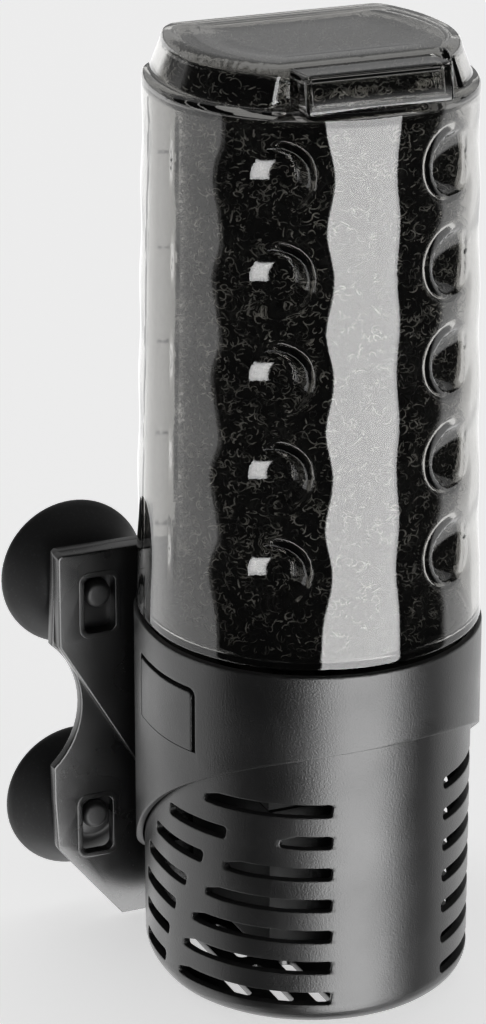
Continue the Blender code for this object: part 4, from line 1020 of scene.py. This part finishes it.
def add_strut(bm, rng, centre, normal):
    """One curl of cut foam: a thin bent rod of random turn, sweep and thickness."""
    up = Vector((0.0, 0.0, 1.0)) if abs(normal.z) < 0.8 else Vector((0.0, 1.0, 0.0))
    across = normal.cross(up).normalized()
    up = across.cross(normal).normalized()
    turn = Matrix((across, up, normal)).transposed()
    lean = Matrix.Rotation(rng.gauss(0.0, 0.7), 3, "X") @ Matrix.Rotation(rng.gauss(0.0, 0.7), 3, "Y")
    basis = turn @ lean
    radius = rng.uniform(0.5, 1.3) * MM
    thick = rng.uniform(0.075, 0.14) * MM
    start = rng.uniform(0.0, 2 * math.pi)
    sweep = rng.uniform(1.2, 4.6)
    wobble = rng.uniform(-0.5, 0.5)
    squeeze = rng.uniform(0.65, 1.0)
    steps = max(4, round(sweep * 2.2))
    rings = []
    for step in range(steps + 1):
        angle = start + sweep * step / steps
        spread = radius * (1.0 + wobble * (step / steps - 0.5))
        flat = Vector((math.cos(angle) * spread, math.sin(angle) * spread * squeeze, 0.0))
        outward = Vector((math.cos(angle), math.sin(angle), 0.0))
        ends = 0.35 if step in (0, steps) else 1.0
        ring = []
        for corner in range(4):
            around = math.pi / 2 * corner
            offset = outward * math.cos(around) + Vector((0.0, 0.0, math.sin(around)))
            ring.append(bm.verts.new(centre + basis @ (flat + offset * thick * ends)))
        rings.append(ring)
    add_loft(bm, rings)


def strut_place(rng):
    """Random place and normal on the sponge's side, in the grip, or on the neck's side or top."""
    kind = rng.random()
    if kind < 0.81:
        height = rng.uniform(SPONGE_LOW.z + 1.5 * MM, SPONGE_STEP + 1.0 * MM)
        station = rng.uniform(-HALF_ROUND, HALF_ROUND)
        spot, normal = wall_frame(station)
        spot = spot - normal * (sponge_inset(station, height) + rng.uniform(-0.2, 1.3) * MM)
        return Vector((spot.x, spot.y, height)), Vector((normal.x, normal.y, 0.0))
    if kind < 0.84:
        across = rng.uniform(-GRIP_FOAM_HALF, GRIP_FOAM_HALF)
        if rng.random() < 0.5:
            height = GRIP_FOAM_MIDDLE + rng.uniform(-0.6, 0.6) * MM
            return Vector((across, GRIP_FOAM_FRONT + rng.uniform(0.2, 0.5) * MM, height)), FORWARDS
        depth = rng.uniform(GRIP_FOAM_FRONT + 1.2 * MM, -NECK_FRONT)
        return Vector((across, depth, GRIP_FOAM_MIDDLE + 1.0 * MM)), UPWARDS
    if kind < 0.92:
        station = rng.uniform(-HALF_ROUND, HALF_ROUND)
        spot, normal = wall_frame(station)
        height = rng.uniform(184.0 * MM, SPONGE_HIGH.z - 1.2 * MM)
        spot = spot - normal * (NECK_FOAM_INSET + rng.uniform(0.0, 0.5) * MM)
        front = -NECK_FRONT + NECK_FOAM_BACK + rng.uniform(0.0, 0.6) * MM
        if spot.y < front:
            return Vector((spot.x, front, height)), FORWARDS
        return Vector((spot.x, spot.y, height)), Vector((normal.x, normal.y, 0.0))
    share = math.sqrt(rng.random())
    spot = wall_place(rng.uniform(-HALF_ROUND, HALF_ROUND), TOP_FOAM_INSET) * share
    height = SPONGE_HIGH.z - rng.uniform(0.6, 1.3) * MM
    if share > 0.98 or spot.y < -NECK_FRONT + NECK_FOAM_BACK:
        height = SPONGE_STEP + rng.uniform(-0.5, 1.0) * MM
    return Vector((spot.x, spot.y, height)), UPWARDS


def build_sponge_struts():
    rng = random.Random(20)
    bm = bmesh.new()
    for _ in range(STRUT_COUNT):
        add_strut(bm, rng, *strut_place(rng))
    struts = mesh_object("sponge_struts", bm, FOAM_STRUT, angle=180.0, weighted=False)
    finish_piece(struts, "cartridge", "black_foam")


# ---------------------------------------------------------------- bracket and suction cups

CUP_X = 34.2 * MM
CUP_NECK_HOLE = 2.9 * MM
CUP_LEVELS = {"lower": 24.4 * MM, "upper": 75.4 * MM}
LAYER_FRONT, LAYER_STEP, LAYER_BACK = 28.5 * MM, 31.5 * MM, 34.0 * MM
CUP_FACES = {"lower": LAYER_STEP, "upper": LAYER_FRONT}
WING_X = BRACKET_HIGH.x - 0.6 * MM
WAIST_RADIUS, WAIST_CENTRE = 18.4 * MM, (56.0 * MM, 51.0 * MM)
WAIST_LOW = 37.2 * MM
FOOT_X = 28.8 * MM
POCKET_RIM_RISE = 0.12 * MM
LIP_LOW, LIP_HIGH = 36.0 * MM, 66.0 * MM


def upright(bm, front, back):
    """Stands a sheet parallel to the back, its outline's y upwards, between two depths."""
    middle = (front + back) / 2
    bmesh.ops.transform(bm, matrix=Matrix(((1, 0, 0, 0), (0, 0, -1, middle), (0, 1, 0, 0), (0, 0, 0, 1))),
                        verts=bm.verts)


def mirrored(points):
    return points + [(-x, z) for x, z in reversed(points)]


def waist_outline():
    """Right half of the bracket's back layer: two wings with a round waist between them."""
    waist_x = WAIST_CENTRE[0] - WAIST_RADIUS
    reach = math.degrees(math.asin((WAIST_CENTRE[1] - WAIST_LOW) / WAIST_RADIUS))
    foot = (FOOT_X, BRACKET_LOW.z)
    lower = [foot, (WING_X, 18.5 * MM), (BRACKET_HIGH.x, 30.0 * MM), (BRACKET_HIGH.x, WAIST_LOW - 1.5 * MM)]
    upper = [(waist_x, WAIST_CENTRE[1]), (WING_X, BRACKET_HIGH.z), (0.0, BRACKET_HIGH.z)]
    points = [foot] + round_corners(lower, [0.0, 2.5 * MM, 0.0, 0.0])[1:]
    points += arc(WAIST_CENTRE, WAIST_RADIUS, 180.0 + reach, 180.0 - reach, 16)
    points += round_corners(upper, [0.0, 1.2 * MM, 0.0])[1:-1]
    return points


def around_cup(side, level, half, below, above):
    """Upright rectangle round a cup's axis."""
    x, z = side * CUP_X, CUP_LEVELS[level]
    return rectangle(x - half, z - below, x + half, z + above)


def cup_holes(level):
    """Openings for one level's cup heads, long enough to slip them in from below."""
    return [round_corners(around_cup(side, level, 3.3 * MM, 7.9 * MM, 4.4 * MM), 1.6 * MM)
            for side in (-1, 1)]


def cup_seats(level):
    """Round holes for the necks of one level's cups."""
    return [round_hole((side * CUP_X, CUP_LEVELS[level]), CUP_NECK_HOLE) for side in (-1, 1)]


def add_pocket_rim(target, side, level):
    """Raised rounded frame round one cup head."""
    thickness = 1.6 * MM
    outer = round_corners(around_cup(side, level, 4.6 * MM, 9.0 * MM, 5.6 * MM), 2.4 * MM)
    inner = round_corners(around_cup(side, level, 3.4 * MM, 7.9 * MM, 4.4 * MM), 1.5 * MM)
    bm = sheet(outer, [inner], thickness, 0.14 * MM)
    front = CUP_FACES[level] - POCKET_RIM_RISE
    upright(bm, front, front + thickness)
    add_mesh(target, bm)


def add_mesh(target, bm):
    """Adds one bmesh to another and frees it."""
    mesh = bpy.data.meshes.new("part")
    bm.to_mesh(mesh)
    bm.free()
    target.from_mesh(mesh)
    bpy.data.meshes.remove(mesh)


def build_bracket():
    """Bracket plate in two layers, with a rim round each cup's opening and the lips that hold the rail."""
    target = bmesh.new()
    bevel, lap = 0.45 * MM, 0.4 * MM
    back_layer = sheet(mirrored(waist_outline()), cup_holes("lower") + cup_seats("upper"),
                       LAYER_BACK - LAYER_STEP, bevel)
    upright(back_layer, LAYER_STEP, LAYER_BACK)
    add_mesh(target, back_layer)
    corners = [(24.0 * MM, 33.0 * MM), (WING_X, 65.4 * MM), (WING_X, BRACKET_HIGH.z)]
    half = round_corners([(0.0, 33.0 * MM), *corners, (0.0, BRACKET_HIGH.z)],
                         [0.0, 1.0 * MM, 1.2 * MM, 1.2 * MM, 0.0])[1:-1]
    front_layer = sheet(mirrored(half), cup_holes("upper"), LAYER_STEP - LAYER_FRONT + lap, bevel)
    upright(front_layer, LAYER_FRONT, LAYER_STEP + lap)
    add_mesh(target, front_layer)
    for side in (-1, 1):
        for level in CUP_LEVELS:
            add_pocket_rim(target, side, level)
        for near, far, back in ((8.4 * MM, 10.2 * MM, LAYER_STEP), (4.7 * MM, 9.0 * MM, 27.9 * MM)):
            inner, outer = sorted((side * near, side * far))
            add_box(target, (inner, BACK_FLAT + 0.5 * MM, LIP_LOW), (outer, back, LIP_HIGH), 0.3 * MM)
    bracket = mesh_object("bracket_plate", target, BRACKET_BLACK)
    finish_piece(bracket, "bracket", "black_plastic", "bracket")


def build_cups():
    """Suction cups: a button head in the pocket, a neck through the plate and a dished skirt."""
    low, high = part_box("suction_cup_lower_left")
    radius = (high.z - low.z) / 2
    rim = -high.y
    back = -LAYER_BACK - 0.3 * MM
    for level, height in CUP_LEVELS.items():
        head_front = -CUP_FACES[level] - 0.6 * MM
        head_back = head_front - 1.5 * MM
        profile = [(0.0, head_front)]
        profile += arc((1.7 * MM, head_front - 1.3 * MM), 1.3 * MM, 90.0, 0.0, 6)
        profile += [(3.0 * MM, head_back), (2.5 * MM, head_back), (2.5 * MM, back + 0.2 * MM),
                    (2.9 * MM, back), (4.6 * MM, back), (5.4 * MM, back - 0.35 * MM),
                    (6.2 * MM, back - 1.35 * MM)]
        dome_start, dome_end = (6.2 * MM, back - 1.35 * MM), (radius - 0.15 * MM, rim + 0.9 * MM)
        for step in range(1, 13):
            share = step / 12
            x = dome_start[0] + (dome_end[0] - dome_start[0]) * share
            sag = 1.25 * MM * math.sin(math.pi * share) * (1.0 - 0.25 * share)
            profile.append((x, dome_start[1] + (dome_end[1] - dome_start[1]) * share ** 1.15 + sag))
        profile += [(radius, rim + 0.5 * MM), (radius, rim), (radius - 1.2 * MM, rim),
                    (12.2 * MM, rim + 2.2 * MM), (7.5 * MM, rim + 4.4 * MM), (3.0 * MM, rim + 5.3 * MM),
                    (0.0, rim + 5.4 * MM)]
        for word, side in (("left", -1), ("right", 1)):
            bm = bmesh.new()
            add_turned(bm, profile, (side * CUP_X, 0.0, height), (0.0, -1.0, 0.0), segments=72)
            cup = mesh_object(f"cup_{level}_{word}", bm, CUP_RUBBER, angle=55.0, weighted=False)
            finish_piece(cup, "bracket", "black_rubber", f"suction_cup_{level}_{word}")


# ---------------------------------------------------------------- cable

CABLE_RADIUS = 2.1 * MM


def build_cable():
    """The cable's first centimetres: out of the pump, through the gland and up behind the body."""
    low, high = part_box("cable_gland")
    centre = (low + high) / 2
    cable_low, cable_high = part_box("cable")
    point, normal = wall_frame(GLAND_STATION)
    outward = Vector((normal.x, normal.y, 0.0))
    passage = Vector((point.x, point.y, centre.z))
    start = Vector((11.5 * MM, 18.2 * MM, cable_low.z))
    riser = passage + outward * 13.0 * MM
    knots = [(start, UPWARDS, 3.0 * MM), (start + UPWARDS * 10.3 * MM, UPWARDS, 4.0 * MM),
             (passage - outward * 12.0 * MM, outward, 5.0 * MM),
             (passage + outward * 6.2 * MM, outward, 5.0 * MM),
             (riser + UPWARDS * 8.0 * MM, UPWARDS, 5.0 * MM),
             (Vector((riser.x, riser.y, cable_high.z)), UPWARDS, 8.0 * MM)]
    curve = bpy.data.curves.new("cable", "CURVE")
    curve.dimensions = "3D"
    curve.bevel_depth = CABLE_RADIUS
    curve.bevel_resolution = 6
    curve.resolution_u = 14
    curve.use_fill_caps = True
    spline = curve.splines.new("BEZIER")
    spline.bezier_points.add(len(knots) - 1)
    for knot, (place, heading, reach) in zip(spline.bezier_points, knots):
        knot.co = place
        knot.handle_left = place - heading * reach
        knot.handle_right = place + heading * reach
    curve.materials.append(CABLE_SHEATH)
    finish_piece(linked("cable_lead", curve), "housing", "cable_sheath", "cable")


# ---------------------------------------------------------------- studio

CAMERA_HEADING = 23.6
CAMERA_PITCH = 20.3
CAMERA_DISTANCE = 0.75
CAMERA_LENS = 132.33
CAMERA_TARGET = Vector((-13.3, 3.0, 99.4)) * MM


def camera_direction():
    """Unit vector from the camera to the object."""
    heading, pitch = math.radians(CAMERA_HEADING), math.radians(CAMERA_PITCH)
    return Vector((math.sin(heading) * math.cos(pitch), math.cos(heading) * math.cos(pitch),
                   -math.sin(pitch)))


def build_camera():
    camera = linked("camera", bpy.data.cameras.new("camera"))
    camera.location = CAMERA_TARGET - camera_direction() * CAMERA_DISTANCE
    camera.rotation_euler = (math.radians(90.0 - CAMERA_PITCH), 0.0, math.radians(-CAMERA_HEADING))
    camera.data.lens = CAMERA_LENS
    camera.data.sensor_width = 36.0
    camera.data.clip_start = 0.01
    bpy.context.scene.camera = camera


# Light zones round the object: first and last bearing (degrees from the camera's own, to the right),
# lowest and highest elevation, softness of the sides and radiance
STRIP_LIGHT = (5.0, 60.0, -64.0, -2.0, 1.5, 7.8)
SIDE_LIGHT = (-184.0, -69.0, -85.0, -2.0, 2.5, 1.35)
BACK_LIGHT = (98.0, 184.0, -85.0, -2.0, 6.0, 1.2)
UPPER_LEFT_LIGHT = (-184.0, -120.0, 0.0, 95.0, 6.0, 0.4)
UPPER_RIGHT_LIGHT = (120.0, 184.0, 0.0, 95.0, 6.0, 0.4)
ZONES = [STRIP_LIGHT, SIDE_LIGHT, BACK_LIGHT, UPPER_LEFT_LIGHT, UPPER_RIGHT_LIGHT]
AMBIENT = 0.03


def build_world():
    """Studio light: zones of the sky light and mirror in the object, while the background looks white."""
    world = bpy.data.worlds.new("studio")
    bpy.context.scene.world = world
    world.use_nodes = True
    nodes = Nodes(world.node_tree)
    direction = nodes.add("ShaderNodeTexCoord").outputs["Generated"]
    parts = nodes.add("ShaderNodeSeparateXYZ", {0: direction})
    x, y, z = parts.outputs
    angle = nodes.math("ARCTAN2", x, nodes.math("MULTIPLY", y, -1.0))
    turned = nodes.math("ADD", angle, math.radians(CAMERA_HEADING))
    bearing = nodes.math("WRAP", turned, math.pi, -math.pi)
    bearing = nodes.math("DEGREES", bearing)
    elevation = nodes.math("DEGREES", nodes.math("ARCSINE", z))
    total = AMBIENT
    for start, end, low, high, soft, radiance in ZONES:
        sides = nodes.math("MULTIPLY", nodes.span(bearing, start, start + soft, smooth=True),
                           nodes.span(bearing, end, end + soft, 1.0, 0.0, smooth=True))
        levels = nodes.math("MULTIPLY", nodes.span(elevation, low, low + 6.0, smooth=True),
                            nodes.span(elevation, high, high + 3.0, 1.0, 0.0, smooth=True))
        part = nodes.math("MULTIPLY", nodes.math("MULTIPLY", sides, levels), radiance)
        total = nodes.math("ADD", part, total)
    path = nodes.add("ShaderNodeLightPath")
    bounces = nodes.math("ADD", path.outputs["Glossy Depth"], path.outputs["Diffuse Depth"])
    seen = nodes.math("LESS_THAN", bounces, 0.5)
    strength = nodes.math("ADD", nodes.math("MULTIPLY", total, nodes.math("SUBTRACT", 1.0, seen)), seen)
    background = nodes.add("ShaderNodeBackground", {"Color": (1.0, 1.0, 1.0, 1.0), "Strength": strength})
    nodes.add("ShaderNodeOutputWorld", {"Surface": background.outputs[0]})
    bpy.context.scene.view_settings.view_transform = "Standard"


def build_floor():
    """Pale floor under the object, left out of mirrored and refracted light."""
    bm = bmesh.new()
    bmesh.ops.create_grid(bm, x_segments=2, y_segments=2, size=3.0,
                          matrix=Matrix.Translation((0.0, 0.0, -0.05 * MM)))
    material, nodes = new_material("pale_floor")
    clouds = nodes.noise(3.0, 2.0)
    tint = nodes.blend(clouds, (0.90, 0.90, 0.90), (0.93, 0.93, 0.93))
    nodes.surface({"Base Color": tint, "Roughness": 0.8, "Specular IOR Level": 0.1,
                   "Emission Color": (1.0, 1.0, 1.0, 1.0), "Emission Strength": 0.55})
    floor = mesh_object("floor", bm, material, weighted=False)
    floor.visible_glossy = False
    floor.visible_transmission = False


finish_cad_nodes()
build_collar()
build_strainer()
build_container()
build_sponge_core()
build_sponge_struts()
build_bracket()
build_cups()
build_cable()
build_camera()
build_world()
build_floor()
